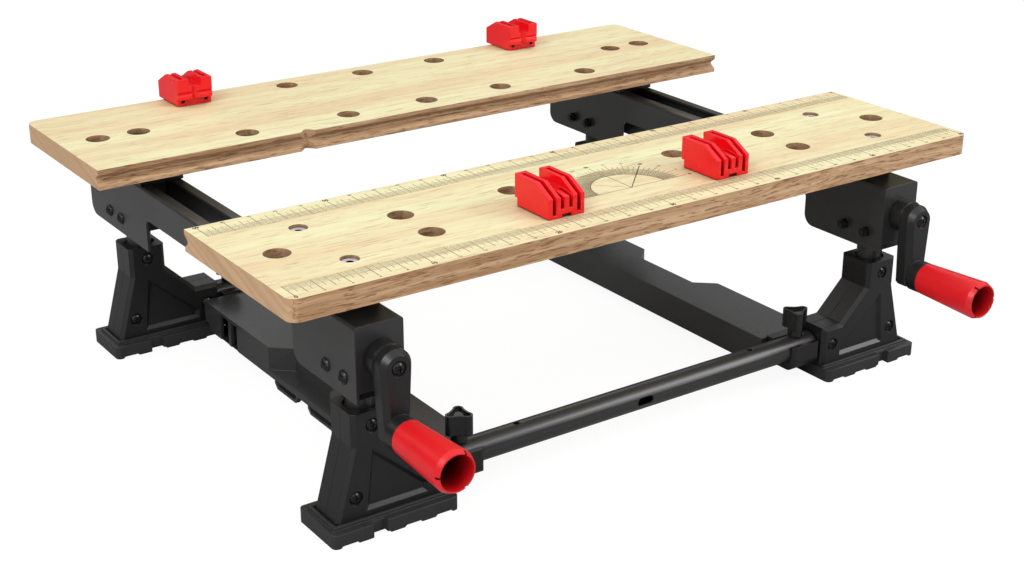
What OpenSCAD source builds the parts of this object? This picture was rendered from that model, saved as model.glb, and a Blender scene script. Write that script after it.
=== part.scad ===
// Bench-top folding workbench: two jaw boards on steel channels, closed by two cranks.
// Millimetres, +X right, +Y to the rear, +Z up, origin on the floor under the middle of the box.
// Stations along Y are counted from the front edge of the front board.

/* [Boards] */
// Length of each jaw board
board_len = 611; // [560:1:680]
// Depth of each jaw board, front to rear
board_depth = 153; // [145:1:180]
// Thickness of the plywood
board_th = 16; // [14:0.5:20]
// Radius of the outer corners
board_corner_r = 8; // [5:0.5:14]
// Opening between the boards as shown
jaw_gap = 153.3; // [120:0.1:180]
// Depth of the long groove in the facing edges
groove_depth = 5; // [3:0.5:7]
// Height of the groove mouth
groove_mouth = 9.4; // [8:0.2:10]
// Height of the flat at the bottom of the groove
groove_flat = 1.8; // [1:0.2:3]
// Groove mouth above the underside of the board
groove_lift = 3; // [2:0.5:4]
// Width of the upright notch in the rear board
notch_w = 13.5; // [8:0.5:20]
// Depth of the upright notch
notch_depth = 6; // [4:0.5:8]
// Flat at the bottom of the upright notch
notch_flat = 2; // [1:0.5:3]
// Distance of the notch from the middle, to the left
notch_x = 127; // [110:1:145]

/* [Dog holes] */
// Diameter of the dog holes
dog_hole_d = 19; // [18:0.5:20]
// Inner columns of holes, from the middle
inner_column = 76.6; // [60:0.1:90]
// Outer columns of holes, from the middle
outer_column = 169.5; // [160:0.1:175]
// Holes near the board ends, from the end
end_hole_in = 31.1; // [28:0.1:36]
// Front row of the front board, from its front edge
front_row = 53.4; // [45:0.1:56]
// Second row of the front board, from its front edge
second_row = 93.9; // [88:0.1:100]
// First row of the rear board, from its front edge
third_row = 23.9; // [20:0.1:28]
// Rear row of the rear board, from its rear edge
rear_row = 20; // [17:0.1:23]

/* [Board fixings] */
// Board bolts from the ends of the blocks under the board
bolt_in = 4.7; // [4.2:0.1:9]
// Counterbore for the sunk bolts
sunk_d = 13.5; // [12:0.5:15]
// Depth of that counterbore
sunk_depth = 5.5; // [4:0.5:8]
// Counterbore over each pivot bolt
pivot_bore_d = 18.5; // [17:0.5:22]
// Depth of the pivot counterbore
pivot_bore_depth = 10.6; // [9:0.1:12]
// Diameter of the pivot bolt
pivot_d = 8; // [6:0.5:9]
// Length of the pivot bolt below its head
pivot_len = 33.6; // [31:0.1:34]
// Diameter of the pivot bolt head
pivot_head_d = 13; // [11:0.5:14]
// Height of the pivot bolt head
pivot_head_h = 4; // [3:0.5:5]
// Diameter of the washer under the pivot bolt head
pivot_washer_d = 17; // [15:0.5:18]
// Thickness of that washer
washer_th = 1.2; // [1:0.1:1.5]

/* [Channels] */
// Distance of each channel from the middle
channel_x = 240; // [236:1:245]
// Outside width of the channel
channel_w = 36.5; // [35:0.5:40]
// Sheet thickness
sheet = 2; // [1.5:0.1:2.2]
// Height of the channel top above the floor
channel_top = 158.5; // [156:0.5:170]
// Outside bend radius
bend_r = 2.8; // [2.6:0.1:4]
// Front board edge in front of the channel
front_overhang = 6; // [5:0.5:8]
// Rear board edge behind the channel
rear_overhang = 5.3; // [4:0.1:8]
// Height of the deep plates at the front
front_drop = 54.5; // [53:0.5:58]
// Length of the deep plates at the front
front_deep_len = 86.5; // [80:0.5:95]
// Height of the channel between the deep plates
middle_drop = 26; // [22:0.5:28]
// Height of the deep plates at the rear
rear_drop = 53.5; // [52:0.5:57]
// Length of the deep plates at the rear
rear_deep_len = 116; // [105:1:125]
// Corner radius of the deep plates
deep_corner_r = 10; // [6:1:14]
// Fillet between the deep plates and the middle
inner_corner_r = 6; // [3:0.5:9]
// Height of the closed front end
end_plate_h = 47.2; // [44:0.1:52]
// Width of the top slot
slot_w = 18; // [16:0.5:20]
// Start of the slot, ahead of the rear edge of the front board
slot_lead = 23; // [15:1:30]
// Solid end behind the slot
slot_tail = 24; // [22:1:28]

/* [Posts and sockets] */
// Diameter of the posts
post_d = 20; // [18:0.5:21]
// Wall of the posts
post_wall = 1.5; // [1:0.1:2]
// Front posts behind the front end of the channel
front_post_in = 28.5; // [27:0.1:31]
// Rear posts ahead of the rear end of the channel
rear_post_in = 51.7; // [49:0.1:54]
// Post top below the channel top
post_top_drop = 34.5; // [33.5:0.1:36]
// Length of the post inside the foot
post_in_foot = 43.5; // [35:0.5:46]
// Socket top below the channel top
socket_top_drop = 31.6; // [31.2:0.1:32.5]
// Socket height
socket_h = 21.2; // [19:0.1:22]
// Length of the front sockets
front_socket_len = 50; // [46:1:52]
// Rear socket ahead of the post axis
rear_socket_front = 22; // [20:1:26]
// Bearing wall behind the rear post axis
bearing_back = 40; // [38:1:43]
// Thickness of the bearing wall
bearing_th = 12; // [8:1:13]
// Height of the bearing wall above the screw axis
bearing_rise = 14; // [10:0.5:16]

/* [Small bolts] */
// Diameter of the small bolts
bolt_d = 5; // [4:0.2:5.4]
// Side bolts below the channel top
bolt_drop = 40.7; // [39.5:0.1:42]
// Side bolts each way from the post axis
bolt_spread = 11.75; // [11.5:0.05:13]
// Diameter of the domed heads
dome_d = 10.4; // [9:0.2:11]
// Height of the domed heads
dome_h = 3; // [2:0.2:4]
// Nut size across its corners
nut_d = 9.2; // [8.6:0.1:9.6]
// Height of the nuts
nut_h = 4.5; // [3.5:0.1:5]
// Diameter of the flat bolt heads
sunk_head_d = 12.4; // [11:0.2:13]
// Height of the flat bolt heads
sunk_head_h = 3; // [2.5:0.1:4]
// Key size of the bolt heads, across its corners
key_d = 5.8; // [4.5:0.1:6.5]
// Depth of the key sockets
key_depth = 2.4; // [2:0.1:2.8]
// Bolt end beyond its nut
bolt_end = 1.5; // [1:0.1:2]

/* [Feet] */
// Height of the foot above the floor
foot_top = 90; // [86:0.5:94]
// Half the depth of the foot, each way from the post axis
foot_half_depth = 16; // [15:0.5:18]
// Half the width of the foot neck
neck_half = 15.5; // [14.5:0.5:17]
// Height where the outer slope starts
outer_knee = 65.5; // [60:0.5:70]
// Outer end of the foot at the floor, from the post axis
toe_out = 30.6; // [26:0.2:34]
// Height where the inner slope starts
inner_knee = 69; // [64:0.5:74]
// Inner end of the slope, from the post axis
arm_step = 41; // [36:0.5:46]
// Height of the arm
arm_top = 44; // [42:0.5:48]
// Inner end of the arm, from the post axis
arm_reach = 61.5; // [60:0.5:64]
// Edge bevel of the foot
foot_bevel = 3; // [2:0.2:4]
// Depth of that bevel
foot_bevel_depth = 3; // [2:0.2:4]
// Recess round the post at the foot top, diameter
lip_d = 24; // [22:0.5:25.5]
// Depth of that recess
lip_depth = 2; // [1:0.2:3]
// Upper corner of the sunk panel, outward from the post axis
panel_top_u = 1; // [0:0.5:3]
// Upper corner of the sunk panel, height
panel_top_z = 62; // [56:0.5:64]
// Outer corner of the sunk panel, outward from the post axis
panel_out = 6.5; // [4:0.5:8]
// Inner corner of the sunk panel, inward from the post axis
panel_in = 42.3; // [38:0.5:44]
// Upright inner edge of the sunk panel
panel_nose = 7.5; // [5:0.5:9]
// Bottom edge of the sunk panel
panel_low = 16.4; // [15:0.2:18]
// Depth of the sunk panel
panel_depth = 2.5; // [1.5:0.1:3]
// Sloping border of the sunk panel
panel_bevel = 2.8; // [1.6:0.1:3]
// Spigot of the foot in the cross tube, length
spigot_len = 10; // [8:0.5:12]

/* [Foot screws] */
// Upper screw height
top_screw_z = 79.4; // [76:0.2:81]
// Lower screws height
low_screw_z = 28.2; // [26:0.2:32]
// Outer screw, outward from the post axis
outer_screw = 14.4; // [13:0.2:16]
// Inner screw, outward from the end of the arm
inner_screw_in = 10.9; // [9:0.1:13]
// Diameter of the screw heads
foot_screw_head_d = 9.2; // [7:0.2:9.6]
// Height of the screw heads
foot_screw_head_h = 2.4; // [2:0.1:2.8]
// Diameter of the ring recess
screw_ring_d = 10.6; // [10:0.2:11.6]
// Depth of the ring recess
screw_ring_depth = 1.8; // [1.2:0.1:2.4]
// Diameter of the screw shanks
foot_screw_d = 3; // [2.4:0.1:3.4]
// Length of the long screw shanks
foot_screw_len = 20; // [17:0.5:22]
// Length of the screw shank in front of the post
short_screw_len = 3.2; // [2:0.1:3.6]

/* [Soles] */
// Sole beyond the post axis, outward
sole_out = 37.3; // [34:0.2:40]
// Sole beyond the end of the foot arm
sole_lead = 0.5; // [0:0.1:3]
// Half the depth of the sole
sole_half_depth = 25; // [22:0.5:28]
// Thickness of the sole
sole_th = 10.5; // [9:0.1:12]
// Corner radius of the sole
sole_corner_r = 4; // [2:0.5:6]
// Height of the rim round the foot
rim_h = 2.4; // [1.5:0.1:3]
// Width of the rim
rim_w = 2.6; // [2:0.1:3.5]
// Outer side of the sole notch, outward from the post axis
sole_notch_out = 6.5; // [5:0.5:8]
// Width of the sole notch
sole_notch_w = 10.7; // [8:0.1:12]
// Depth of the sole notch
sole_notch_depth = 4; // [3:0.2:5]
// Length of the tread hollows
tread_len = 14; // [8:0.5:18]
// Depth of the tread hollows
tread_depth = 1.4; // [0.8:0.1:2]

/* [Cross tubes] */
// Diameter of the cross tubes
tube_d = 20; // [18:0.5:21]
// Wall of the cross tubes
tube_wall = 1.5; // [1:0.1:2]
// Axis height of the cross tubes
tube_z = 27.6; // [26:0.2:30]
// Gap between tube end and foot
tube_end_gap = 1.5; // [0.5:0.1:2]
// Small top holes, from the middle
small_hole_x = 112.5; // [90:0.5:125]
// Diameter of the small top holes
small_hole_d = 5; // [4:0.2:6]
// Length of the slot in the front wall
tube_slot_len = 15; // [12:0.5:18]
// Width of the slot in the front wall
tube_slot_w = 6.5; // [5:0.5:8]

/* [Saddles] */
// Length of the saddles along the tube
saddle_len = 26.5; // [22:0.5:32]
// Space between a saddle and the foot arm
saddle_space = 3.5; // [2:0.5:6]
// Saddle wall in front of the tube
saddle_wall = 4; // [3:0.2:5]
// Height of the saddle lips
saddle_top = 34; // [31:0.2:35]
// Underside of the saddles above the floor
saddle_bottom = 12.9; // [11:0.1:13.2]
// Rounded lower edge of the saddles
saddle_round = 8; // [5:0.5:10]

/* [Knobs] */
// Diameter of each lobe
lobe_d = 7.6; // [6:0.2:9]
// Distance of the lobes from the knob axis
lobe_offset = 7; // [6:0.1:8.5]
// Height of the lobes
lobe_h = 15; // [12:0.5:18]
// Radius of the hollow flanks between the lobes
flank_r = 11; // [8:0.5:16]
// Waist between the lobes, from the knob axis
flank_waist = 6.4; // [5:0.1:7]
// Collar diameter
collar_d = 12; // [10:0.5:13]
// Collar height
collar_h = 7; // [6:0.2:9]
// Diameter of the knob stud
stud_d = 6; // [5:0.1:6.4]
// Stud end below the bottom of the tube
stud_end = 3; // [2:0.1:3.4]
// Rim left round the dish in the knob top
dish_rim = 1.6; // [1:0.1:2.4]
// Depth of the dish
dish_depth = 2; // [1:0.1:3]

/* [Side rails] */
// Inner face of the rails, from the middle
rail_inner_x = 143.5; // [140:0.5:146]
// Width of the side rails
rail_w = 50.2; // [48:0.2:52]
// Top of the side rails above the floor
rail_top = 32; // [30:0.2:34]
// Underside of the side rails above the floor
rail_bottom = 6.6; // [5.6:0.1:8]
// Wall of the side rails
rail_wall = 3; // [2.4:0.1:3.6]
// Rail end behind or ahead of the post axis
rail_end_gap = 18.5; // [18:0.1:22]
// Hand-hold, middle station ahead of the rail middle
hold_ahead = 3.7; // [0:0.1:8]
// Hand-hold length at the outer face
hold_len = 101.8; // [95:0.2:108]
// Hand-hold length at its inner wall
hold_inner_len = 73; // [66:0.2:80]
// Depth of the hand-hold from the outer face
hold_depth = 16.7; // [14:0.1:19]
// Height of the hand-hold ledge above the floor
ledge_z = 12; // [10.5:0.1:13]
// Rear upright slot, from the rail end
rear_slot_in = 29.8; // [26:0.2:34]
// Width of the rear upright slot
rear_slot_w = 15; // [12:0.2:16]
// Width of the front upright slot
front_slot_w = 11.5; // [9:0.2:13]
// Web between the slots
slot_web = 4.5; // [3.5:0.1:6]
// Length of the rear loop
rear_loop_len = 38.7; // [34:0.1:42]
// Length of the front loop
front_loop_len = 51.3; // [46:0.1:56]
// Space between the loops
loop_space = 16.5; // [14:0.1:19]
// Rear loop behind the middle of the hand-hold
loop_back = 41.8; // [38:0.1:44]
// Bar of the loops
loop_bar = 2.6; // [2.2:0.1:3]
// Thickness of the loops
loop_th = 4; // [3:0.1:5]
// Corner cut of the loops
loop_cut = 4; // [3:0.1:5]

/* [Cranks] */
// Screw axis below the channel top
screw_drop = 24.1; // [23.8:0.1:25]
// Diameter of the lead screw
screw_d = 10; // [9:0.2:10.4]
// Front end of the lead screw, diameter
nose_d = 8; // [7:0.2:8.4]
// Front end of the lead screw, length
nose_len = 15; // [12:0.5:16]
// Retaining collar of the lead screw, diameter
stop_d = 14; // [12:0.2:14.4]
// Retaining collar length
stop_len = 6; // [4:0.2:8]
// Rear end of the screw behind the bearing wall
screw_tail = 3; // [2:0.2:5]
// Crank arm length, hub to grip
crank_len = 45; // [40:0.5:48]
// Thickness of the crank arm
crank_th = 13.5; // [12:0.1:15]
// Half width of the arm at the hub
hub_r = 12; // [11:0.2:13]
// Half width of the arm at the grip
arm_end_half = 9; // [8.5:0.1:10]
// Arm end beyond the grip axis
arm_end = 10.3; // [9.5:0.1:12]
// Corner cut of the arm end
arm_corner = 3; // [2:0.1:4]
// Bevel of the arm face
arm_bevel = 3; // [2:0.1:3.6]
// Depth of that bevel
arm_bevel_depth = 5; // [3:0.1:6]
// Rear part of the hub, diameter
hub_back_d = 26; // [24:0.2:27]
// Gap between the hub and the bushing
hub_gap = 0.3; // [0.2:0.05:0.5]
// Rear part of the hub, length
hub_back_len = 6.2; // [5:0.1:8]
// Recess round the crank screw, diameter
hub_recess_d = 11; // [10.6:0.1:12]
// Depth of that recess
hub_recess_depth = 1.4; // [1:0.1:2]
// Ring at the grip root, diameter
ring_d = 25; // [22:0.2:26]
// Ring at the grip root, height
ring_h = 9; // [2:0.1:12]
// Diameter of the grip pin
pin_d = 8; // [7:0.2:9]
// Head of the grip pin, diameter
pin_head_d = 14; // [12:0.2:15]
// Head of the grip pin, height
pin_head_h = 3; // [2:0.1:4]
// Head diameter of the crank screw
crank_screw_head_d = 9.6; // [8:0.2:10.4]
// Head height of the crank screw
crank_screw_head_h = 2.6; // [2:0.1:3.2]
// Shank diameter of the crank screw
crank_screw_d = 4; // [3:0.1:4.6]
// Shank length of the crank screw
crank_screw_len = 16; // [13:0.5:18]

/* [Bushings] */
// Flange diameter
flange_d = 25; // [23:0.2:27]
// Flange thickness
flange_th = 3.7; // [3:0.1:4.5]
// Sleeve diameter
sleeve_d = 14; // [13:0.2:14.4]
// Sleeve length
sleeve_len = 6.3; // [5:0.1:8]

/* [Grips] */
// Grip radius at the root
grip_root_r = 12.5; // [12:0.1:13.5]
// Grip radius at the open end
grip_end_r = 15; // [14.5:0.1:16]
// Grip length
grip_len = 57.3; // [52:0.1:66]
// Closed root of the grip
grip_solid = 17.6; // [14:0.1:24]
// Bore radius at the open end
grip_mouth_r = 12.4; // [11.5:0.1:13]
// Bore radius at the closed root
grip_floor_r = 9.5; // [8.5:0.1:10]
// Chamfer of the open end
grip_chamfer = 1.6; // [1:0.1:1.8]
// Length of that chamfer
grip_chamfer_len = 4; // [2:0.2:5]
// Width of the rim nicks
rim_nick_w = 1.6; // [1:0.2:3]
// Depth of the rim nicks, inward
rim_nick_in = 1; // [0.6:0.1:1.4]
// Length of the rim nicks
rim_nick_len = 3; // [2:0.2:4]

/* [Slider blocks] */
// Length of the blocks under the boards
block_len = 80; // [78:1:86]
// Height of the blocks under the boards
block_h = 16.1; // [14:0.1:18]
// Width of the neck in the slot
neck_w = 17.4; // [15:0.1:17.6]
// Length of the travelling nut
nut_len = 24; // [20:0.5:28]
// Width of the travelling nut
travel_nut_w = 30; // [27:0.5:30.6]
// Travelling nut below the screw axis
travel_nut_low = 6.6; // [6:0.1:6.8]
// Depth of the side panels in the blocks
block_panel = 1.5; // [1:0.1:2]
// Border round those panels
block_border = 3; // [2.5:0.1:4]

/* [Dogs] */
// Width of the dog
dog_w = 31.5; // [30:0.5:34]
// Clamping face ahead of the peg axis
dog_face = 13.3; // [12.5:0.1:14]
// Tail behind the peg axis
dog_tail = 28; // [26:0.5:30]
// Height of the dog
dog_h = 23.3; // [21:0.1:25]
// Height of the tail
tail_h = 15; // [13.5:0.5:17]
// Rear end of the flat top, behind the peg axis
dog_top_back = 12.5; // [10:0.5:14]
// Undercut of the clamping face
dog_undercut = 3; // [2:0.1:4]
// Height of that undercut
undercut_h = 5.7; // [4.5:0.1:6.5]
// Eased edges of the sides
dog_bevel = 0.8; // [0.5:0.1:1.2]
// Width of the valley between the side walls
valley_w = 11.5; // [10.5:0.1:12.5]
// Valley floor above the board
valley_z = 16.3; // [15.5:0.1:18]
// Valley floor at the very tail
valley_tail_z = 14.6; // [13:0.1:15]
// Start of the falling valley floor, behind the peg axis
valley_bend = 18; // [16:0.5:22]
// Width of the slots in the side walls
wall_slot_w = 3.2; // [2.6:0.1:3.6]
// Centre of those slots, from the middle of the dog
wall_slot_x = 10.5; // [10:0.1:10.8]
// Floor of those slots
wall_slot_z = 2.4; // [2:0.2:4]
// Closed part of the side walls at the clamping face
wall_closed = 3; // [2.5:0.1:5]
// Width of the slots beside the middle rib
rib_slot_w = 3.2; // [2.6:0.1:3.4]
// Centre of those slots, from the middle of the dog
rib_slot_x = 3.6; // [3.4:0.1:3.8]
// Start of those slots behind the peg axis
rib_slot_start = 14; // [12:0.5:17]
// Floor of those slots
rib_slot_z = 6.3; // [5:0.1:8]
// Upright groove in the clamping face, width
face_groove_w = 7; // [5:0.2:9]
// Upright groove in the clamping face, depth
face_groove_depth = 2.5; // [1.5:0.1:3]
// Level groove in the clamping face, height above the board
level_groove_z = 10.5; // [9.5:0.1:11]
// Level groove, width
level_groove_w = 4; // [3:0.1:5]
// Level groove, depth
level_groove_depth = 1.6; // [1:0.1:2]
// Small hole in the valley, diameter
valley_hole_d = 3.4; // [2.6:0.1:4]
// Small hole behind the peg axis
valley_hole_back = 9.5; // [8:0.1:11]
// Depth of the small hole
valley_hole_depth = 4; // [2:0.5:6]
// Notch at the foot of the tail, width
tail_notch_w = 8; // [7:0.5:10]
// Notch at the foot of the tail, height
tail_notch_h = 2.5; // [2:0.1:3.5]
// Depth of that notch
tail_notch_depth = 3; // [2:0.2:4]
// Length of the peg
peg_len = 19; // [17:0.5:21]
// Wall of the hollow peg
peg_wall = 3; // [2:0.1:4]
// Lead-in chamfer of the peg
peg_chamfer = 1.2; // [0.8:0.1:1.6]

/* [Fits] */
// Space between seated pieces
seat_gap = 0.3; // [0.2:0.05:0.4]
// Radial space of turning pieces
run_gap = 0.05; // [0.03:0.01:0.08]
// Radial space of screws and posts in their holes
hole_gap = 0.1; // [0.08:0.01:0.2]
// Space under sliding pieces
slide_gap = 0.2; // [0.1:0.05:0.3]

/* [Hidden] */
$fn = 64;
// Overrun of every cut
over = 1;
// Heights
board_bottom = channel_top + block_h;
board_top = board_bottom + board_th;
screw_z = channel_top - screw_drop;
bolt_z = channel_top - bolt_drop;
socket_top = channel_top - socket_top_drop;
socket_bottom = socket_top - socket_h;
post_top = channel_top - post_top_drop;
post_bottom = foot_top - post_in_foot;
foot_bottom = sole_th + seat_gap;
// Stations along Y
jaw_front = board_depth + jaw_gap;
jaw_rear = jaw_front + board_depth;
front_centre = board_depth / 2;
jaw_centre = jaw_front + board_depth / 2;
channel_front = front_overhang;
channel_rear = jaw_rear - rear_overhang;
channel_len = channel_rear - channel_front;
front_post = channel_front + front_post_in;
rear_post = channel_rear - rear_post_in;
rear_dog = jaw_rear - rear_row;
flange_front = channel_front - seat_gap - flange_th;
hub_back = flange_front - hub_gap;
arm_back = hub_back - hub_back_len;
arm_face = arm_back - crank_th;
grip_root = arm_face - ring_h - seat_gap;
grip_end = grip_root - grip_len;
screw_shoulder = flange_front;
stop_front = flange_front + flange_th + sleeve_len + seat_gap;
screw_rear = rear_post + bearing_back + screw_tail;
mid_y = (grip_end + rear_dog + dog_tail) / 2;
// Distances from the middle
end_column = board_len / 2 - end_hole_in;
arm_end_x = channel_x - arm_reach;
saddle_outer_x = arm_end_x - saddle_space;
saddle_inner_x = saddle_outer_x - saddle_len;
bolt_offset = block_len / 2 - bolt_in;
knob_x = (saddle_inner_x + saddle_outer_x) / 2;
sole_in = arm_reach + sole_lead;
// Radii
screw_r = screw_d / 2;
post_r = post_d / 2;
tube_r = tube_d / 2;
bolt_r = bolt_d / 2;
stud_r = stud_d / 2;
peg_r = dog_hole_d / 2 - run_gap;
inner_w = channel_w - 2 * sheet;
socket_w = inner_w - 2 * seat_gap;
rail_outer_x = rail_inner_x + rail_w;
lobes = 3;
hex = 6;
blade_share = 0.2;
cross_depth_share = 0.35;

// Colours
wood = [0.82, 0.68, 0.45];
black = [0.1, 0.1, 0.11];
coat = [0.16, 0.16, 0.17];
red = [0.8, 0.05, 0.05];
steel = [0.6, 0.6, 0.62];
rubber = [0.13, 0.13, 0.13];

// Helpers

// Puts a piece drawn for the right side at a station, mirrored for the left side.
module place(side, station) {
  translate([0, station - mid_y, 0])
    if (side < 0) mirror([1, 0, 0]) children();
    else children();
}

// Cylinders along the three directions, from the origin the given length.
module along_y(r, length) rotate([-90, 0, 0]) cylinder(r = r, h = length);
module along_x(r, length) rotate([0, 90, 0]) cylinder(r = r, h = length);

// Box from its lowest corner to its highest corner.
module span(low, high) translate(low) cube(high - low);

// Turns an outline in X and Z into a plate from one Y to another.
module slab(from_y, to_y)
  translate([0, to_y, 0]) rotate([90, 0, 0]) linear_extrude(to_y - from_y) children();

// Turns an outline in Y and Z into a plate from one X to another.
module side_slab(from_x, to_x)
  translate([from_x, 0, 0]) rotate([90, 0, 90]) linear_extrude(to_x - from_x) children();

function unit(v) = v / norm(v);
function inward(a, b) = let (d = unit(b - a)) [-d.y, d.x];
// Outline moved inward by the same amount on every edge.
function inset(points, amount) = [for (i = [0 : len(points) - 1])
  let (n = len(points), p = points[i],
    before = inward(points[(i + n - 1) % n], p),
    after = inward(p, points[(i + 1) % n]))
  p + amount * (before + after) / (1 + before * after)];

// Mean of the points of an outline.
function centre_of(points) = [for (p = points) 1] * points / len(points);

// Sloping border from an outline at one Y to the smaller outline in front of it.
// Both ends are filled from a hub that sees every corner of the outline.
module border_cap(outline, hub, edge_y, front_y, border) {
  n = len(outline);
  small = inset(outline, border);
  points = concat([for (p = outline) [p.x, edge_y, p.y]], [for (p = small) [p.x, front_y, p.y]],
    [[hub.x, edge_y, hub.y], [hub.x, front_y, hub.y]]);
  faces = [for (i = [0 : n - 1]) let (j = (i + 1) % n)
    each [[2 * n, i, j], [i, n + i, n + j, j], [2 * n + 1, n + j, n + i]]];
  polyhedron(points = points, faces = faces, convexity = hex);
}

// Plate in X and Z with a sloping border round its front face.
module bevel_prism(outline, hub, back_y, front_y, border, border_depth) {
  slab(front_y + border_depth, back_y) polygon(outline);
  border_cap(outline, hub, front_y + border_depth, front_y, border);
}

// Bar in X and Z with a sloping border round both faces.
module bevel_bar(outline, hub, half, border) {
  slab(border - half, half - border) polygon(outline);
  border_cap(outline, hub, border - half, -half, border);
  mirror([0, 1, 0]) border_cap(outline, hub, border - half, -half, border);
}

// Rectangle with its two upper corners rounded.
module arch(width, height, r) {
  translate([-width / 2, 0]) square([width, height - r]);
  translate([r - width / 2, 0]) square([width - 2 * r, height]);
  for (s = [-1, 1]) translate([s * (width / 2 - r), height - r]) circle(r);
}

// Rectangle with one lower corner rounded, at its far end.
module deep_plate(length, height, r) {
  translate([0, r]) square([length, height - r]);
  square([length - r, height]);
  translate([length - r, r]) circle(r);
}

// Cross-head recess, cut down from the origin.
module cross_cut(size) {
  blade = size * blade_share;
  depth = size * cross_depth_share;
  for (turn = [0, 90]) rotate([0, 0, turn])
    translate([-size / 2, -blade / 2, -depth]) cube([size, blade, depth + over]);
}

// Domed bolt head standing on the origin.
module dome(d, h) {
  ball_r = (d * d / 4 + h * h) / (2 * h);
  rotate_extrude() intersection() {
    translate([0, h - ball_r]) circle(ball_r);
    square([d / 2, h]);
  }
}

// Boards

function front_holes() = concat(
  [for (x = [inner_column, outer_column], y = [front_row, second_row], s = [-1, 1]) [s * x, y]],
  [for (s = [-1, 1]) [s * end_column, front_centre]]);
function rear_holes() = concat(
  [for (x = [-outer_column, -inner_column, 0, inner_column, outer_column]) [x, jaw_front + third_row]],
  [for (x = [-outer_column, -inner_column, 0, inner_column, outer_column]) [x, rear_dog]],
  [for (s = [-1, 1]) [s * end_column, jaw_centre]]);

// Board outline with two rounded corners, at the front edge.
module board_outline() {
  translate([-board_len / 2, board_corner_r]) square([board_len, board_depth - board_corner_r]);
  translate([board_corner_r - board_len / 2, 0]) square([board_len - 2 * board_corner_r, board_depth]);
  for (s = [-1, 1]) translate([s * (board_len / 2 - board_corner_r), board_corner_r]) circle(board_corner_r);
}

// Long groove, cut into an edge that lies at Y zero with the wood on the far side.
module long_groove() {
  flat_low = groove_lift + (groove_mouth - groove_flat) / 2;
  side_slab(-board_len / 2 - over, board_len / 2 + over)
    polygon([[0, groove_lift], [groove_depth, flat_low], [groove_depth, flat_low + groove_flat],
      [0, groove_lift + groove_mouth], [-over, groove_lift + groove_mouth], [-over, groove_lift]]);
}

module front_board() color(wood) translate([0, -mid_y, board_bottom]) difference() {
  linear_extrude(board_th) board_outline();
  translate([0, board_depth, 0]) mirror([0, 1, 0]) long_groove();
  for (p = front_holes()) translate([p.x, p.y, -over]) cylinder(d = dog_hole_d, h = board_th + 2 * over);
  for (s = [-1, 1], t = [-1, 1]) translate([s * channel_x, front_centre + t * bolt_offset, 0]) {
    translate([0, 0, -over]) cylinder(r = bolt_r + hole_gap, h = board_th + 2 * over);
    translate([0, 0, board_th - sunk_depth]) cylinder(d = sunk_d, h = sunk_depth + over);
  }
}

module rear_board() color(wood) translate([0, -mid_y, board_bottom]) difference() {
  translate([0, jaw_rear, 0]) mirror([0, 1, 0]) linear_extrude(board_th) board_outline();
  translate([0, jaw_front, 0]) long_groove();
  translate([-notch_x, jaw_front, -over]) linear_extrude(board_th + 2 * over)
    polygon([[-notch_w / 2, 0], [-notch_flat / 2, notch_depth], [notch_flat / 2, notch_depth],
      [notch_w / 2, 0], [notch_w / 2, -over], [-notch_w / 2, -over]]);
  for (p = rear_holes()) translate([p.x, p.y, -over]) cylinder(d = dog_hole_d, h = board_th + 2 * over);
  for (s = [-1, 1]) translate([s * channel_x, jaw_centre, 0]) {
    translate([0, 0, -over]) cylinder(r = pivot_d / 2 + hole_gap, h = board_th + 2 * over);
    translate([0, 0, board_th - pivot_bore_depth]) cylinder(d = pivot_bore_d, h = pivot_bore_depth + over);
  }
}

// Channels

// Fillet under a corner, to the right of a plate.
module inner_corner() difference() {
  translate([0, -inner_corner_r]) square([inner_corner_r, inner_corner_r]);
  translate([inner_corner_r, -inner_corner_r]) circle(inner_corner_r);
}

// Side outline of the channel, station along X and height along Y.
module channel_side() {
  translate([channel_front, channel_top - middle_drop]) square([channel_len, middle_drop]);
  translate([channel_front, channel_top - front_drop]) deep_plate(front_deep_len, front_drop, deep_corner_r);
  translate([channel_rear - rear_deep_len, channel_top - rear_drop])
    deep_plate(rear_deep_len, rear_drop, deep_corner_r);
  translate([channel_rear - rear_deep_len, channel_top - middle_drop]) mirror([1, 0]) inner_corner();
  translate([channel_front + front_deep_len, channel_top - middle_drop]) inner_corner();
}

module channel() difference() {
  union() {
    intersection() {
      translate([channel_x, 0, channel_top - front_drop]) difference() {
        slab(channel_front, channel_rear) arch(channel_w, front_drop, bend_r);
        translate([0, 0, -over])
          slab(channel_front - over, channel_rear + over)
            arch(inner_w, front_drop - sheet + over, bend_r - sheet);
      }
      side_slab(channel_x - channel_w, channel_x + channel_w) channel_side();
    }
    translate([channel_x, 0, channel_top - end_plate_h])
      slab(channel_front, channel_front + sheet) arch(channel_w, end_plate_h, bend_r);
  }
  span([channel_x - slot_w / 2, board_depth - slot_lead, channel_top - sheet - over],
    [channel_x + slot_w / 2, channel_rear - slot_tail, channel_top + over]);
  for (post = [front_post, rear_post], t = [-1, 1])
    translate([channel_x - channel_w, post + t * bolt_spread, bolt_z])
      along_x(bolt_r + hole_gap, 2 * channel_w);
  for (t = [-1, 1])
    translate([channel_x, front_centre + t * bolt_offset, channel_top - sheet - over])
      cylinder(r = bolt_r + hole_gap, h = sheet + 2 * over);
  translate([channel_x, channel_front - over, screw_z]) along_y(sleeve_d / 2 + hole_gap, sheet + 2 * over);
}
module left_channel() color(coat) place(-1, 0) channel();
module right_channel() color(coat) place(1, 0) channel();

// Sockets and posts

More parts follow.
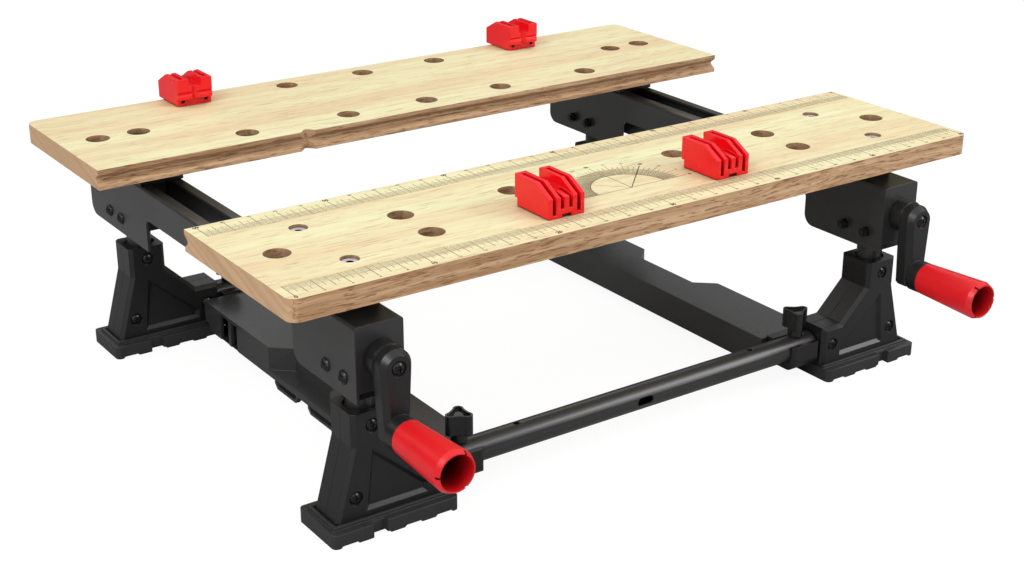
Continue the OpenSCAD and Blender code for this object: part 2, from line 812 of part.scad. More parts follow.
// Socket block round the post top, drawn with the post axis at Y zero.
module socket(front_y, back_y, with_bearing) difference() {
  union() {
    span([channel_x - socket_w / 2, front_y, socket_bottom],
      [channel_x + socket_w / 2, back_y, socket_top]);
    if (with_bearing)
      span([channel_x - socket_w / 2, back_y - bearing_th, socket_bottom],
        [channel_x + socket_w / 2, back_y, screw_z + bearing_rise]);
  }
  translate([channel_x, 0, socket_bottom - over])
    cylinder(r = post_r + hole_gap, h = post_top + seat_gap - socket_bottom + over);
  for (t = [-1, 1]) translate([channel_x - channel_w, t * bolt_spread, bolt_z])
    along_x(bolt_r + hole_gap, 2 * channel_w);
  if (with_bearing)
    translate([channel_x, back_y - bearing_th - over, screw_z])
        along_y(screw_r + run_gap, bearing_th + 2 * over);
}
module front_socket() {
  start = sheet + seat_gap - front_post_in;
  socket(start, start + front_socket_len, false);
}
module rear_socket() socket(-rear_socket_front, bearing_back, true);
module front_left_socket() color(black) place(-1, front_post) front_socket();
module front_right_socket() color(black) place(1, front_post) front_socket();
module rear_left_socket() color(black) place(-1, rear_post) rear_socket();
module rear_right_socket() color(black) place(1, rear_post) rear_socket();

// Post tube with two shallow nicks that the side bolts lock.
module post() difference() {
  translate([channel_x, 0, post_bottom]) cylinder(r = post_r, h = post_top - post_bottom);
  translate([channel_x, 0, post_bottom - over])
    cylinder(r = post_r - post_wall, h = post_top - post_bottom + 2 * over);
  for (t = [-1, 1]) translate([channel_x - channel_w, t * bolt_spread, bolt_z])
    along_x(bolt_r + hole_gap, 2 * channel_w);
}
module front_left_post() color(coat) place(-1, front_post) post();
module front_right_post() color(coat) place(1, front_post) post();
module rear_left_post() color(coat) place(-1, rear_post) post();
module rear_right_post() color(coat) place(1, rear_post) post();

// Feet

// Foot outline, outward from the post axis and up. It runs past the level top and bottom,
// so that the sloping border is left off there.
toe_spread = (toe_out - neck_half) / (outer_knee - foot_bottom);
foot_outline = [[-arm_reach, foot_bottom - foot_bevel],
  [toe_out + toe_spread * foot_bevel, foot_bottom - foot_bevel], [neck_half, outer_knee],
  [neck_half, foot_top + foot_bevel], [-neck_half, foot_top + foot_bevel], [-neck_half, inner_knee],
  [-arm_step, arm_top], [-arm_reach, arm_top]];
foot_hub = [0, (foot_bottom + arm_top) / 2];
panel_outline = [[-panel_in, panel_low], [panel_out, panel_low], [panel_top_u, panel_top_z],
  [-panel_in, panel_low + panel_nose]];
// Screws of a foot, outward from the post axis, up, and shank length.
foot_screw_places = [[0, top_screw_z, short_screw_len], [outer_screw, low_screw_z, foot_screw_len],
  [inner_screw_in - arm_reach, low_screw_z, foot_screw_len]];

// Socket for the post and the recess round it.
module post_hole() {
  translate([0, 0, post_bottom - seat_gap]) cylinder(r = post_r + hole_gap, h = foot_top);
  translate([0, 0, foot_top - lip_depth]) cylinder(d = lip_d, h = lip_depth + over);
}
module screw_hole(shank) {
  translate([0, -foot_half_depth - over, 0]) along_y(screw_ring_d / 2, screw_ring_depth + over);
  translate([0, -foot_half_depth, 0])
    along_y(foot_screw_d / 2 + hole_gap, screw_ring_depth + shank + seat_gap);
}
// Front shell of the foot.
module foot_shell() intersection() {
  bevel_prism(foot_outline, foot_hub, -seat_gap / 2, -foot_half_depth, foot_bevel, foot_bevel_depth);
  span([-arm_reach, -foot_half_depth, foot_bottom], [2 * toe_out, 0, foot_top]);
}
module foot_cover() translate([channel_x, 0, 0]) difference() {
  foot_shell();
  post_hole();
  translate([0, -foot_half_depth, 0]) mirror([0, 1, 0])
    bevel_prism(panel_outline, centre_of(panel_outline), over, -panel_depth, panel_bevel, panel_depth);
  for (s = foot_screw_places) translate([s[0], 0, s[1]]) screw_hole(s[2]);
}
module foot_body() translate([channel_x, 0, 0]) {
  difference() {
    mirror([0, 1, 0]) foot_shell();
    post_hole();
    for (s = foot_screw_places) translate([s[0], 0, s[1]]) screw_hole(s[2]);
  }
  translate([-arm_reach - spigot_len, 0, tube_z]) along_x(tube_r - tube_wall - seat_gap, spigot_len);
  intersection() {
    translate([-arm_reach - spigot_len, 0, tube_z]) along_x(tube_r - tube_wall - seat_gap, 2 * spigot_len);
    span([-arm_reach - over, 0, 0], [over - arm_reach, foot_half_depth, foot_top]);
  }
}
module front_left_cover() color(black) place(-1, front_post) foot_cover();
module front_right_cover() color(black) place(1, front_post) foot_cover();
module rear_left_cover() color(black) place(-1, rear_post) foot_cover();
module rear_right_cover() color(black) place(1, rear_post) foot_cover();
module front_left_foot() color(black) place(-1, front_post) foot_body();
module front_right_foot() color(black) place(1, front_post) foot_body();
module rear_left_foot() color(black) place(-1, rear_post) foot_body();
module rear_right_foot() color(black) place(1, rear_post) foot_body();

module sole_outline() {
  width = sole_in + sole_out;
  translate([-sole_in, sole_corner_r - sole_half_depth])
    square([width, 2 * (sole_half_depth - sole_corner_r)]);
  translate([sole_corner_r - sole_in, -sole_half_depth])
    square([width - 2 * sole_corner_r, 2 * sole_half_depth]);
  for (u = [sole_corner_r - sole_in, sole_out - sole_corner_r], s = [-1, 1])
    translate([u, s * (sole_half_depth - sole_corner_r)]) circle(sole_corner_r);
}
tread_count = 4;
tread_pitch = (sole_in + sole_out) / tread_count;
module sole() translate([channel_x, 0, 0]) difference() {
  union() {
    linear_extrude(sole_th) sole_outline();
    difference() {
      span([-sole_in, -foot_half_depth - seat_gap - rim_w, sole_th - over],
        [toe_out + seat_gap + rim_w, foot_half_depth + seat_gap + rim_w, sole_th + rim_h]);
      span([-sole_in - over, -foot_half_depth - seat_gap, 0],
        [toe_out + seat_gap, foot_half_depth + seat_gap, sole_th + rim_h + over]);
    }
  }
  for (i = [0 : tread_count - 1])
    slab(-sole_half_depth - over, sole_half_depth + over)
      translate([(i + 1 / 2) * tread_pitch - sole_in, 0])
      polygon([[-tread_len / 2, 0], [-tread_len / 2, -over], [tread_len / 2, -over], [tread_len / 2, 0],
        [tread_len / 2 - tread_depth, tread_depth], [tread_depth - tread_len / 2, tread_depth]]);
  span([sole_notch_out - sole_notch_w, -sole_half_depth - over, -over],
    [sole_notch_out, sole_notch_depth - sole_half_depth, sole_th + over]);
}
module front_left_sole() color(rubber) place(-1, front_post) sole();
module front_right_sole() color(rubber) place(1, front_post) sole();
module rear_left_sole() color(rubber) place(-1, rear_post) sole();
module rear_right_sole() color(rubber) place(1, rear_post) sole();

// Cross tubes, saddles and knobs

tube_half = arm_end_x - tube_end_gap;
module cross_tube() translate([0, 0, tube_z]) difference() {
  translate([-tube_half, 0, 0]) along_x(tube_r, 2 * tube_half);
  translate([-tube_half - over, 0, 0]) along_x(tube_r - tube_wall, 2 * (tube_half + over));
  for (s = [-1, 1]) {
    translate([s * small_hole_x, 0, 0]) cylinder(d = small_hole_d, h = tube_d);
    translate([s * knob_x, 0, -tube_d]) cylinder(r = stud_r + run_gap, h = 2 * tube_d);
  }
  slab(-tube_d, 0) {
    square([tube_slot_len - tube_slot_w, tube_slot_w], center = true);
    for (s = [-1, 1]) translate([s * (tube_slot_len - tube_slot_w) / 2, 0]) circle(d = tube_slot_w);
  }
}
module front_tube() color(coat) place(1, front_post) cross_tube();
module rear_tube() color(coat) place(1, rear_post) cross_tube();

// Saddle open at the top, its back end meeting the rail. Drawn for the front, mirrored for the rear.
module saddle() difference() {
  front = -tube_r - saddle_wall;
  back = rail_end_gap - seat_gap;
  intersection() {
    side_slab(saddle_inner_x, saddle_outer_x) {
      translate([front, saddle_bottom + saddle_round])
        square([back - front, saddle_top - saddle_bottom - saddle_round]);
      translate([front + saddle_round, saddle_bottom])
        square([back - front - saddle_round, saddle_top - saddle_bottom]);
      translate([front + saddle_round, saddle_bottom + saddle_round]) circle(saddle_round);
    }
    linear_extrude(saddle_top) {
      translate([saddle_inner_x, front + saddle_wall])
        square([saddle_outer_x - saddle_inner_x, back - front]);
      translate([saddle_inner_x + saddle_wall, front])
        square([saddle_outer_x - saddle_inner_x - saddle_wall, back - front]);
      translate([saddle_inner_x + saddle_wall, front + saddle_wall]) circle(saddle_wall);
    }
  }
  translate([0, 0, tube_z]) {
    translate([saddle_inner_x - over, 0, 0])
      along_x(tube_r + seat_gap, saddle_outer_x - saddle_inner_x + 2 * over);
    span([saddle_inner_x - over, -tube_r - seat_gap, 0], [saddle_outer_x + over, tube_r + seat_gap, tube_d]);
  }
  translate([knob_x, 0, tube_z - tube_r - stud_end - seat_gap])
    cylinder(r = stud_r + run_gap, h = stud_end + tube_r);
}
module rear_saddle() mirror([0, 1, 0]) saddle();
module front_left_saddle() color(black) place(-1, front_post) saddle();
module front_right_saddle() color(black) place(1, front_post) saddle();
module rear_left_saddle() color(black) place(-1, rear_post) rear_saddle();
module rear_right_saddle() color(black) place(1, rear_post) rear_saddle();

// Three-lobed outline of the knob, drawn smaller by a rim.
module knob_outline(rim) difference() {
  union() {
    circle(flank_waist - rim);
    for (i = [0 : lobes - 1]) rotate(i * 360 / lobes) {
      translate([lobe_offset, 0]) circle(lobe_d / 2 - rim);
      polygon([[0, -flank_waist + rim], [lobe_offset, rim - lobe_d / 2], [lobe_offset, lobe_d / 2 - rim],
        [0, flank_waist - rim]]);
    }
  }
  for (i = [0 : lobes - 1]) rotate((i + 1 / 2) * 360 / lobes)
    translate([flank_waist + flank_r, 0]) circle(flank_r + rim);
}
module knob() translate([knob_x, 0, tube_z + tube_r]) {
  translate([0, 0, -tube_d - stud_end]) cylinder(r = stud_r, h = tube_d + stud_end + seat_gap + collar_h);
  translate([0, 0, seat_gap]) cylinder(d = collar_d, h = collar_h + over);
  translate([0, 0, seat_gap + collar_h]) difference() {
    linear_extrude(lobe_h) knob_outline(0);
    translate([0, 0, lobe_h - dish_depth]) linear_extrude(dish_depth + over) knob_outline(dish_rim);
  }
}
module front_left_knob() color(black) place(-1, front_post) knob();
module front_right_knob() color(black) place(1, front_post) knob();
module rear_left_knob() color(black) place(-1, rear_post) knob();
module rear_right_knob() color(black) place(1, rear_post) knob();

// Side rails

rail_front = front_post + rail_end_gap;
rail_rear = rear_post - rail_end_gap;
hold_mid = (rail_front + rail_rear) / 2 - hold_ahead;
// Hand-hold cut from the outer side, grown by the wall where it shapes the hollow.
module hold(grow) {
  outer = hold_len / 2 + grow;
  inner = hold_inner_len / 2 + grow;
  slope = (hold_len - hold_inner_len) / 2 / hold_depth;
  translate([rail_outer_x, hold_mid, ledge_z - grow])
    linear_extrude(rail_top)
    polygon([[-hold_depth - grow, -inner], [0, -outer], [over, -outer - slope * over],
      [over, outer + slope * over], [0, outer], [-hold_depth - grow, inner]]);
}
// One loop under the outer edge, between two stations.
module loop(start, length) {
  side_slab(rail_outer_x - loop_th, rail_outer_x) difference() {
    translate([start, 0]) polygon([[0, rail_bottom + rail_wall], [0, loop_cut], [loop_cut, 0],
      [length - loop_cut, 0], [length, loop_cut], [length, rail_bottom + rail_wall]]);
    translate([start, 0]) polygon([[loop_bar, rail_bottom], [loop_bar, loop_cut + loop_bar / 2],
      [loop_cut + loop_bar / 2, loop_bar], [length - loop_cut - loop_bar / 2, loop_bar],
      [length - loop_bar, loop_cut + loop_bar / 2], [length - loop_bar, rail_bottom]]);
  }
}
module rail() {
  difference() {
    span([rail_inner_x, rail_front, rail_bottom], [rail_outer_x, rail_rear, rail_top]);
    hold(0);
    difference() {
      span([rail_inner_x + rail_wall, rail_front + rail_wall, rail_bottom - over],
        [rail_outer_x - rail_wall, rail_rear - rail_wall, rail_top - rail_wall]);
      hold(rail_wall);
    }
    sole_edge = sole_half_depth + seat_gap;
    for (y = [front_post, rear_post])
      span([arm_end_x - sole_lead - seat_gap, y - sole_edge, rail_bottom - over],
        [rail_outer_x + over, y + sole_edge, sole_th + rim_h + seat_gap]);
    slot_top = rail_top - rail_wall;
    rear_end = rail_rear - rear_slot_in;
    span([rail_outer_x - rail_wall - over, rear_end - rear_slot_w, rail_bottom - over],
      [rail_outer_x + over, rear_end, slot_top]);
    front_end = rear_end - rear_slot_w - slot_web;
    span([rail_outer_x - rail_wall - over, front_end - front_slot_w, rail_bottom - over],
      [rail_outer_x + over, front_end, slot_top]);
  }
  loop(hold_mid + loop_back - rear_loop_len, rear_loop_len);
  loop(hold_mid + loop_back - rear_loop_len - loop_space - front_loop_len, front_loop_len);
}
module left_rail() color(black) place(-1, 0) rail();
module right_rail() color(black) place(1, 0) rail();

// Cranks, grips, lead screws and bushings

crank_steps = 24;
// Crank outline round the screw axis, with the grip axis below it.
crank_outline = concat(
  [for (i = [0 : crank_steps]) hub_r * [cos(i * 180 / crank_steps), sin(i * 180 / crank_steps)]],
  [[-arm_end_half, arm_corner - crank_len - arm_end], [arm_corner - arm_end_half, -crank_len - arm_end],
    [arm_end_half - arm_corner, -crank_len - arm_end], [arm_end_half, arm_corner - crank_len - arm_end]]);
grip_wall_end = grip_root - grip_solid;
module crank() translate([channel_x, 0, screw_z]) difference() {
  union() {
    bevel_prism(crank_outline, centre_of(crank_outline), arm_back, arm_face, arm_bevel, arm_bevel_depth);
    translate([0, arm_back - over, 0]) along_y(hub_back_d / 2, hub_back_len + over);
    translate([0, 0, -crank_len]) {
      translate([0, arm_face - ring_h, 0]) along_y(ring_d / 2, ring_h + over);
      translate([0, grip_wall_end - seat_gap - over, 0]) along_y(pin_d / 2, arm_back - grip_wall_end);
      translate([0, grip_wall_end - seat_gap - pin_head_h, 0]) along_y(pin_head_d / 2, pin_head_h);
    }
  }
  translate([0, hub_back - nose_len, 0]) along_y(nose_d / 2 + hole_gap, nose_len + over);
  translate([0, arm_face - over, 0]) along_y(crank_screw_d / 2 + hole_gap, crank_th + over);
  translate([0, arm_face - over, 0]) along_y(hub_recess_d / 2, hub_recess_depth + over);
}
module left_crank() color(black) place(-1, 0) crank();
module right_crank() color(black) place(1, 0) crank();

module grip() translate([channel_x, grip_root, screw_z - crank_len]) rotate([90, 0, 0]) difference() {
  union() {
    cylinder(r1 = grip_root_r, r2 = grip_end_r, h = grip_len - grip_chamfer_len);
    translate([0, 0, grip_len - grip_chamfer_len])
      cylinder(r1 = grip_end_r, r2 = grip_end_r - grip_chamfer, h = grip_chamfer_len);
  }
  translate([0, 0, grip_solid]) cylinder(r1 = grip_floor_r, r2 = grip_mouth_r, h = grip_len - grip_solid);
  translate([0, 0, grip_len - over]) cylinder(r = grip_mouth_r, h = 2 * over);
  translate([0, 0, -over]) cylinder(r = pin_d / 2 + run_gap, h = grip_len);
  for (turn = [0, 120, 240]) rotate([0, 0, turn])
    translate([grip_end_r - grip_chamfer - rim_nick_in, -rim_nick_w / 2, grip_len - rim_nick_len])
      cube([grip_end_r, rim_nick_w, rim_nick_len + over]);
}
module left_grip() color(red) place(-1, 0) grip();
module right_grip() color(red) place(1, 0) grip();

module lead_screw() translate([channel_x, 0, screw_z]) difference() {
  union() {
    translate([0, screw_shoulder, 0]) along_y(screw_r, screw_rear - screw_shoulder);
    translate([0, hub_back - nose_len + seat_gap, 0]) along_y(nose_d / 2, nose_len + hub_gap + over);
    translate([0, stop_front, 0]) along_y(stop_d / 2, stop_len);
  }
  translate([0, hub_back - nose_len - over, 0])
    along_y(crank_screw_d / 2 + hole_gap, crank_screw_len + over);
}
module left_screw() color(steel) place(-1, 0) lead_screw();
module right_screw() color(steel) place(1, 0) lead_screw();

module crank_screw() translate([channel_x, arm_face + hub_recess_depth - seat_gap, screw_z])
  rotate([90, 0, 0]) difference() {
  union() {
    dome(crank_screw_head_d, crank_screw_head_h);
    translate([0, 0, -crank_screw_len])
      cylinder(d = crank_screw_d, h = crank_screw_len + crank_screw_head_h / 2);
  }
  translate([0, 0, crank_screw_head_h]) cross_cut(crank_screw_head_d / 2);
}
module left_crank_screw() color(steel) place(-1, 0) crank_screw();
module right_crank_screw() color(steel) place(1, 0) crank_screw();

module bushing() translate([channel_x, flange_front, screw_z]) difference() {
  union() {
    along_y(flange_d / 2, flange_th);
    along_y(sleeve_d / 2, flange_th + sleeve_len);
  }
  translate([0, -over, 0]) along_y(screw_r + run_gap, flange_th + sleeve_len + 2 * over);
}
module left_bushing() color(black) place(-1, 0) bushing();
module right_bushing() color(black) place(1, 0) bushing();

// Blocks under the boards

// Block as wide as the channel with a sunk panel on each side.
module block(low, high) difference() {
  span([channel_x - channel_w / 2, -block_len / 2, low], [channel_x + channel_w / 2, block_len / 2, high]);
  for (s = [-1, 1]) translate([channel_x + s * channel_w / 2, 0, 0])
    span([-block_panel, block_border - block_len / 2, low + block_border],
      [block_panel, block_len / 2 - block_border, high - block_border]);
}
module slider() difference() {
  union() {
    block(channel_top + slide_gap, board_bottom - seat_gap);
    span([channel_x - neck_w / 2, -nut_len / 2, screw_z],
      [channel_x + neck_w / 2, nut_len / 2, board_bottom - block_h / 2]);
    span([channel_x - travel_nut_w / 2, -nut_len / 2, screw_z - travel_nut_low],
      [channel_x + travel_nut_w / 2, nut_len / 2, channel_top - sheet - slide_gap]);
  }
  translate([channel_x, -nut_len, screw_z]) along_y(screw_r + run_gap, 2 * nut_len);
  translate([channel_x, 0, board_top - pivot_bore_depth - pivot_len])
    cylinder(r = pivot_d / 2 + hole_gap, h = pivot_len);
}
module left_slider() color(black) place(-1, jaw_centre) slider();
module right_slider() color(black) place(1, jaw_centre) slider();

module spacer() difference() {
  block(channel_top + seat_gap / 2, board_bottom - seat_gap);
  for (t = [-1, 1]) translate([channel_x, t * bolt_offset, channel_top])
    cylinder(r = bolt_r + hole_gap, h = block_h);
}
module left_spacer() color(black) place(-1, front_centre) spacer();
module right_spacer() color(black) place(1, front_centre) spacer();

// Dogs

// Side outline of the dog, ahead of the peg axis and up.
dog_outline = [[-dog_tail, 0], [dog_face - dog_undercut, 0], [dog_face - dog_undercut, undercut_h],
  [dog_face, undercut_h], [dog_face, dog_h], [-dog_top_back, dog_h], [-dog_tail, tail_h]];

// Dog with its peg axis at the origin, clamping face to the rear, standing on the board top.
module dog() {
  back = -dog_tail;
  translate([0, 0, slide_gap]) difference() {
    rotate([0, 0, 90]) bevel_bar(dog_outline, centre_of(dog_outline), dog_w / 2, dog_bevel);
    side_slab(-valley_w / 2, valley_w / 2) polygon([[dog_face + over, valley_z],
      [-valley_bend, valley_z], [back, valley_tail_z], [back - over, valley_tail_z],
      [back - over, dog_h + over], [dog_face + over, dog_h + over]]);
    for (s = [-1, 1]) {
      translate([s * wall_slot_x, 0, 0])
        span([-wall_slot_w / 2, back - over, wall_slot_z],
          [wall_slot_w / 2, dog_face - wall_closed, dog_h + over]);
      translate([s * rib_slot_x, 0, 0])
        span([-rib_slot_w / 2, back - over, rib_slot_z],
          [rib_slot_w / 2, -rib_slot_start, dog_h + over]);
    }
    translate([0, -valley_hole_back, valley_z - valley_hole_depth])
      cylinder(d = valley_hole_d, h = valley_hole_depth + over);
    translate([0, 0, -over]) linear_extrude(dog_h + 2 * over)
      polygon([[-face_groove_w / 2, dog_face], [0, dog_face - face_groove_depth],
        [face_groove_w / 2, dog_face], [face_groove_w / 2, dog_face + over],
        [-face_groove_w / 2, dog_face + over]]);
    groove_low = level_groove_z - level_groove_w / 2;
    groove_high = level_groove_z + level_groove_w / 2;
    side_slab(-dog_w / 2 - over, dog_w / 2 + over)
      polygon([[dog_face, groove_low], [dog_face + over, groove_low], [dog_face + over, groove_high],
        [dog_face, groove_high], [dog_face - level_groove_depth, level_groove_z]]);
    span([-tail_notch_w / 2, back - over, -over], [tail_notch_w / 2, back + tail_notch_depth, tail_notch_h]);
  }
  translate([0, 0, -peg_len]) difference() {
    union() {
      translate([0, 0, peg_chamfer]) cylinder(r = peg_r, h = peg_len - peg_chamfer + slide_gap + over);
      cylinder(r1 = peg_r - peg_chamfer, r2 = peg_r, h = peg_chamfer);
    }
    translate([0, 0, -over]) cylinder(r = peg_r - peg_wall, h = peg_len - peg_wall);
  }
}
module front_dog_at(side) translate([side * inner_column, front_row - mid_y, board_top]) dog();
module rear_dog_at(side)
  translate([side * outer_column, rear_dog - mid_y, board_top]) rotate([0, 0, 180]) dog();
module front_left_dog() color(red) front_dog_at(-1);
module front_right_dog() color(red) front_dog_at(1);
module rear_left_dog() color(red) rear_dog_at(-1);
module rear_right_dog() color(red) rear_dog_at(1);

// Fasteners

module each_side_bolt() for (side = [-1, 1], post = [front_post, rear_post], t = [-1, 1])
  place(side, post + t * bolt_spread) translate([channel_x, 0, bolt_z]) children();
module side_bolts() color(coat) each_side_bolt() {
  shank = channel_w + 2 * seat_gap + nut_h + bolt_end;
  translate([channel_w / 2 + seat_gap, 0, 0]) rotate([0, 90, 0]) {
    dome(dome_d, dome_h);
    translate([0, 0, -shank]) cylinder(r = bolt_r, h = shank + dome_h / 2);
  }
}
// Nut standing on the origin.
module nut() difference() {
  cylinder(d = nut_d, h = nut_h, $fn = hex);
  translate([0, 0, -over]) cylinder(r = bolt_r + hole_gap, h = nut_h + 2 * over);
}
module each_board_bolt() for (side = [-1, 1], t = [-1, 1])
  place(side, front_centre + t * bolt_offset) translate([channel_x, 0, 0]) children();
module lock_nuts() color(coat) {
  each_side_bolt() translate([-channel_w / 2 - seat_gap - nut_h, 0, 0]) rotate([0, 90, 0]) nut();
  each_board_bolt() translate([0, 0, channel_top - sheet - seat_gap - nut_h]) nut();
}
module board_bolts() color(steel) each_board_bolt() {
  seat = board_top - sunk_depth + seat_gap;
  low = channel_top - sheet - seat_gap - nut_h - bolt_end;
  difference() {
    union() {
      translate([0, 0, low]) cylinder(r = bolt_r, h = seat - low + sunk_head_h / 2);
      translate([0, 0, seat]) cylinder(d = sunk_head_d, h = sunk_head_h);
    }
    translate([0, 0, seat + sunk_head_h - key_depth]) cylinder(d = key_d, h = key_depth + over, $fn = hex);
  }
}
module foot_screws() color(coat) for (side = [-1, 1], post = [front_post, rear_post], s = foot_screw_places)
  place(side, post) translate([channel_x + s[0], screw_ring_depth - foot_half_depth - seat_gap, s[1]])
    rotate([90, 0, 0]) difference() {
      union() {
        dome(foot_screw_head_d, foot_screw_head_h);
        translate([0, 0, -s[2]]) cylinder(d = foot_screw_d, h = s[2] + foot_screw_head_h / 2);
      }
      translate([0, 0, foot_screw_head_h]) cross_cut(foot_screw_head_d / 2);
    }
module pivot_bolts() color(steel) for (side = [-1, 1]) place(side, jaw_centre)
  translate([channel_x, 0, 0]) {
  seat = board_top - pivot_bore_depth + seat_gap;
  translate([0, 0, seat - pivot_len]) cylinder(d = pivot_d, h = pivot_len + washer_th);
  translate([0, 0, seat]) cylinder(d = pivot_washer_d, h = washer_th);
  translate([0, 0, seat + washer_th]) difference() {
    cylinder(d = pivot_head_d, h = pivot_head_h);
    translate([0, 0, pivot_head_h - key_depth]) cylinder(d = key_d, h = key_depth + over, $fn = hex);
  }
}

front_board();
rear_board();
left_channel();
right_channel();
front_left_socket();
front_right_socket();
rear_left_socket();
rear_right_socket();
front_left_post();
front_right_post();
rear_left_post();
rear_right_post();
front_left_cover();
front_right_cover();
rear_left_cover();
rear_right_cover();
front_left_foot();
front_right_foot();
rear_left_foot();
rear_right_foot();
front_left_sole();
front_right_sole();
rear_left_sole();
rear_right_sole();
front_tube();
rear_tube();
left_rail();
right_rail();
front_left_saddle();
front_right_saddle();
rear_left_saddle();
rear_right_saddle();
front_left_knob();
front_right_knob();
rear_left_knob();
rear_right_knob();
left_crank();
right_crank();
left_grip();
right_grip();
left_screw();
right_screw();
left_slider();
right_slider();
left_spacer();
right_spacer();
front_left_dog();
front_right_dog();
rear_left_dog();
rear_right_dog();
side_bolts();
lock_nuts();
board_bolts();
foot_screws();
left_crank_screw();
right_crank_screw();
left_bushing();
right_bushing();
pivot_bolts();
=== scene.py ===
# %% [markdown]
# # A clamping workbench, dressed for its photograph
#
# The bench is a pair of wooden boards on two steel channels, with four moulded legs. The front board is
# fixed. The rear board is the moving jaw: two red-handled cranks turn two long screws, which pull it
# forward. All of the parts come from the CAD model, so this lesson gives them their finishes and adds what
# that model leaves out: the print, the screw threads, the dark of small sockets, the light and the camera.

# %% Load the bench
import math
import bmesh
import bpy
from mathutils import Matrix, Vector


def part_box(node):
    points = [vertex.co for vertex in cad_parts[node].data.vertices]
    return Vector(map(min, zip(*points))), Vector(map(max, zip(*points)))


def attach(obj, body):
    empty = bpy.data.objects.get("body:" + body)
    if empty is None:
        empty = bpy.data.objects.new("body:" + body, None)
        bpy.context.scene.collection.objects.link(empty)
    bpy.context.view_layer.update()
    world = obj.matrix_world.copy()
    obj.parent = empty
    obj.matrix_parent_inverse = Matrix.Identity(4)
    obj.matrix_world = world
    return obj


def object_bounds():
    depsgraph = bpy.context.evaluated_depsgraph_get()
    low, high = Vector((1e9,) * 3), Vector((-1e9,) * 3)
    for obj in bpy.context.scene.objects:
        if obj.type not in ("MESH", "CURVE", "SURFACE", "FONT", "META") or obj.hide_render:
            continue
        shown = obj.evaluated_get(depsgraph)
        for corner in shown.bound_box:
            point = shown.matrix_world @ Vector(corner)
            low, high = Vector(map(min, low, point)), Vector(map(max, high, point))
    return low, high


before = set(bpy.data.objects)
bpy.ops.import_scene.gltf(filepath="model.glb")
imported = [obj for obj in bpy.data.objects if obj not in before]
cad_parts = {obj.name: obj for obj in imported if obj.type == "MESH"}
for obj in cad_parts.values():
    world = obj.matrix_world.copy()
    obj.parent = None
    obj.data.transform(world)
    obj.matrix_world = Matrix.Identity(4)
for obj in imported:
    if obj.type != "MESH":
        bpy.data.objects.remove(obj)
cad_low, cad_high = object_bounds()
MM = 0.001
print("parts loaded:", len(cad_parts), "box in mm:", [round(v / MM, 1) for v in cad_high - cad_low])

# %% [markdown]
# ## The camera
#
# A camera could be placed by eye, but then nothing in the render lines up with the photograph.
# Here its place, its turn and its focal length were worked out from the corners, holes and ruler marks
# of the boards, whose sizes are known. Blender wants a lens in millimetres on a 36 mm film,
# so the focal length in pixels is turned into that.

# %% Camera
CAMERA_PLACE = Vector((-729.55, -1036.92, 583.79)) * MM
CAMERA_TURN = math.radians(-34.863)
CAMERA_TILT = math.radians(-22.164)
CAMERA_ROLL = math.radians(0.111)
FOCAL_PIXELS = 1667.87
PICTURE_WIDTH = 1024
FILM_WIDTH = 36.0
NEAREST, FARTHEST = 0.05, 60

ahead = Vector((
    -math.sin(CAMERA_TURN) * math.cos(CAMERA_TILT),
    math.cos(CAMERA_TURN) * math.cos(CAMERA_TILT),
    math.sin(CAMERA_TILT),
))
level = Vector((math.cos(CAMERA_TURN), math.sin(CAMERA_TURN), 0))
upward = level.cross(ahead)
right = math.cos(CAMERA_ROLL) * level + math.sin(CAMERA_ROLL) * upward
up = math.cos(CAMERA_ROLL) * upward - math.sin(CAMERA_ROLL) * level

lens = bpy.data.cameras.new("photo_camera")
lens.sensor_width = FILM_WIDTH
lens.lens = FOCAL_PIXELS / PICTURE_WIDTH * FILM_WIDTH
lens.clip_start, lens.clip_end = NEAREST, FARTHEST
camera = bpy.data.objects.new("photo_camera", lens)
camera.matrix_world = Matrix.Translation(CAMERA_PLACE) @ Matrix((right, up, -ahead)).transposed().to_4x4()
bpy.context.scene.collection.objects.link(camera)
bpy.context.scene.camera = camera
bpy.context.scene.view_settings.view_transform = "Standard"
print("lens in mm:", round(lens.lens, 2))

# %% [markdown]
# ## Helpers for finishes
#
# Every finish below is a small tree of nodes, and the same few steps come back in all of them: start a
# material, add a node and fill its sockets, draw a noise, blend two colours. Written out each time they
# would hide what a finish is about, so each step is a helper with a name. Colours are given as they look
# on a screen, and one helper turns them into the linear numbers that the shader wants. All patterns are
# measured in metres on the object itself, so that grain and texture have their real size and move with it.

# %% Helpers for one node
def screen_colour(red, green, blue):
    """A colour as written for a screen, 0 to 255, in the shader's linear numbers, by the sRGB curve."""
    shares = [c / 255 for c in (red, green, blue)]
    return tuple(s / 12.92 if s <= 0.04045 else ((s + 0.055) / 1.055) ** 2.4 for s in shares) + (1.0,)


def new_finish(name):
    """An empty material with its output and its Principled shader."""
    finish = bpy.data.materials.new(name)
    finish.use_nodes = True
    tree = finish.node_tree
    tree.nodes.clear()
    output = tree.nodes.new("ShaderNodeOutputMaterial")
    shader = tree.nodes.new("ShaderNodeBsdfPrincipled")
    tree.links.new(shader.outputs[0], output.inputs[0])
    return finish, tree, shader


def add(tree, kind, sockets=None, **settings):
    """Adds a node. A socket that is given another node's output is linked, and any other value is set."""
    node = tree.nodes.new("ShaderNode" + kind)
    for name, value in settings.items():
        setattr(node, name, value)
    for name, value in (sockets or {}).items():
        if isinstance(value, bpy.types.NodeSocket):
            tree.links.new(value, node.inputs[name])
        else:
            node.inputs[name].default_value = value
    return node


def sums(tree, operation, first, second=0.0):
    """One step of arithmetic on two numbers."""
    return add(tree, "Math", {0: first, 1: second}, operation=operation).outputs[0]


def place_on(tree):
    """Where a point lies on the part, in metres, and which way the surface faces there."""
    coordinates = add(tree, "TexCoord")
    return coordinates.outputs["Object"], coordinates.outputs["Normal"]


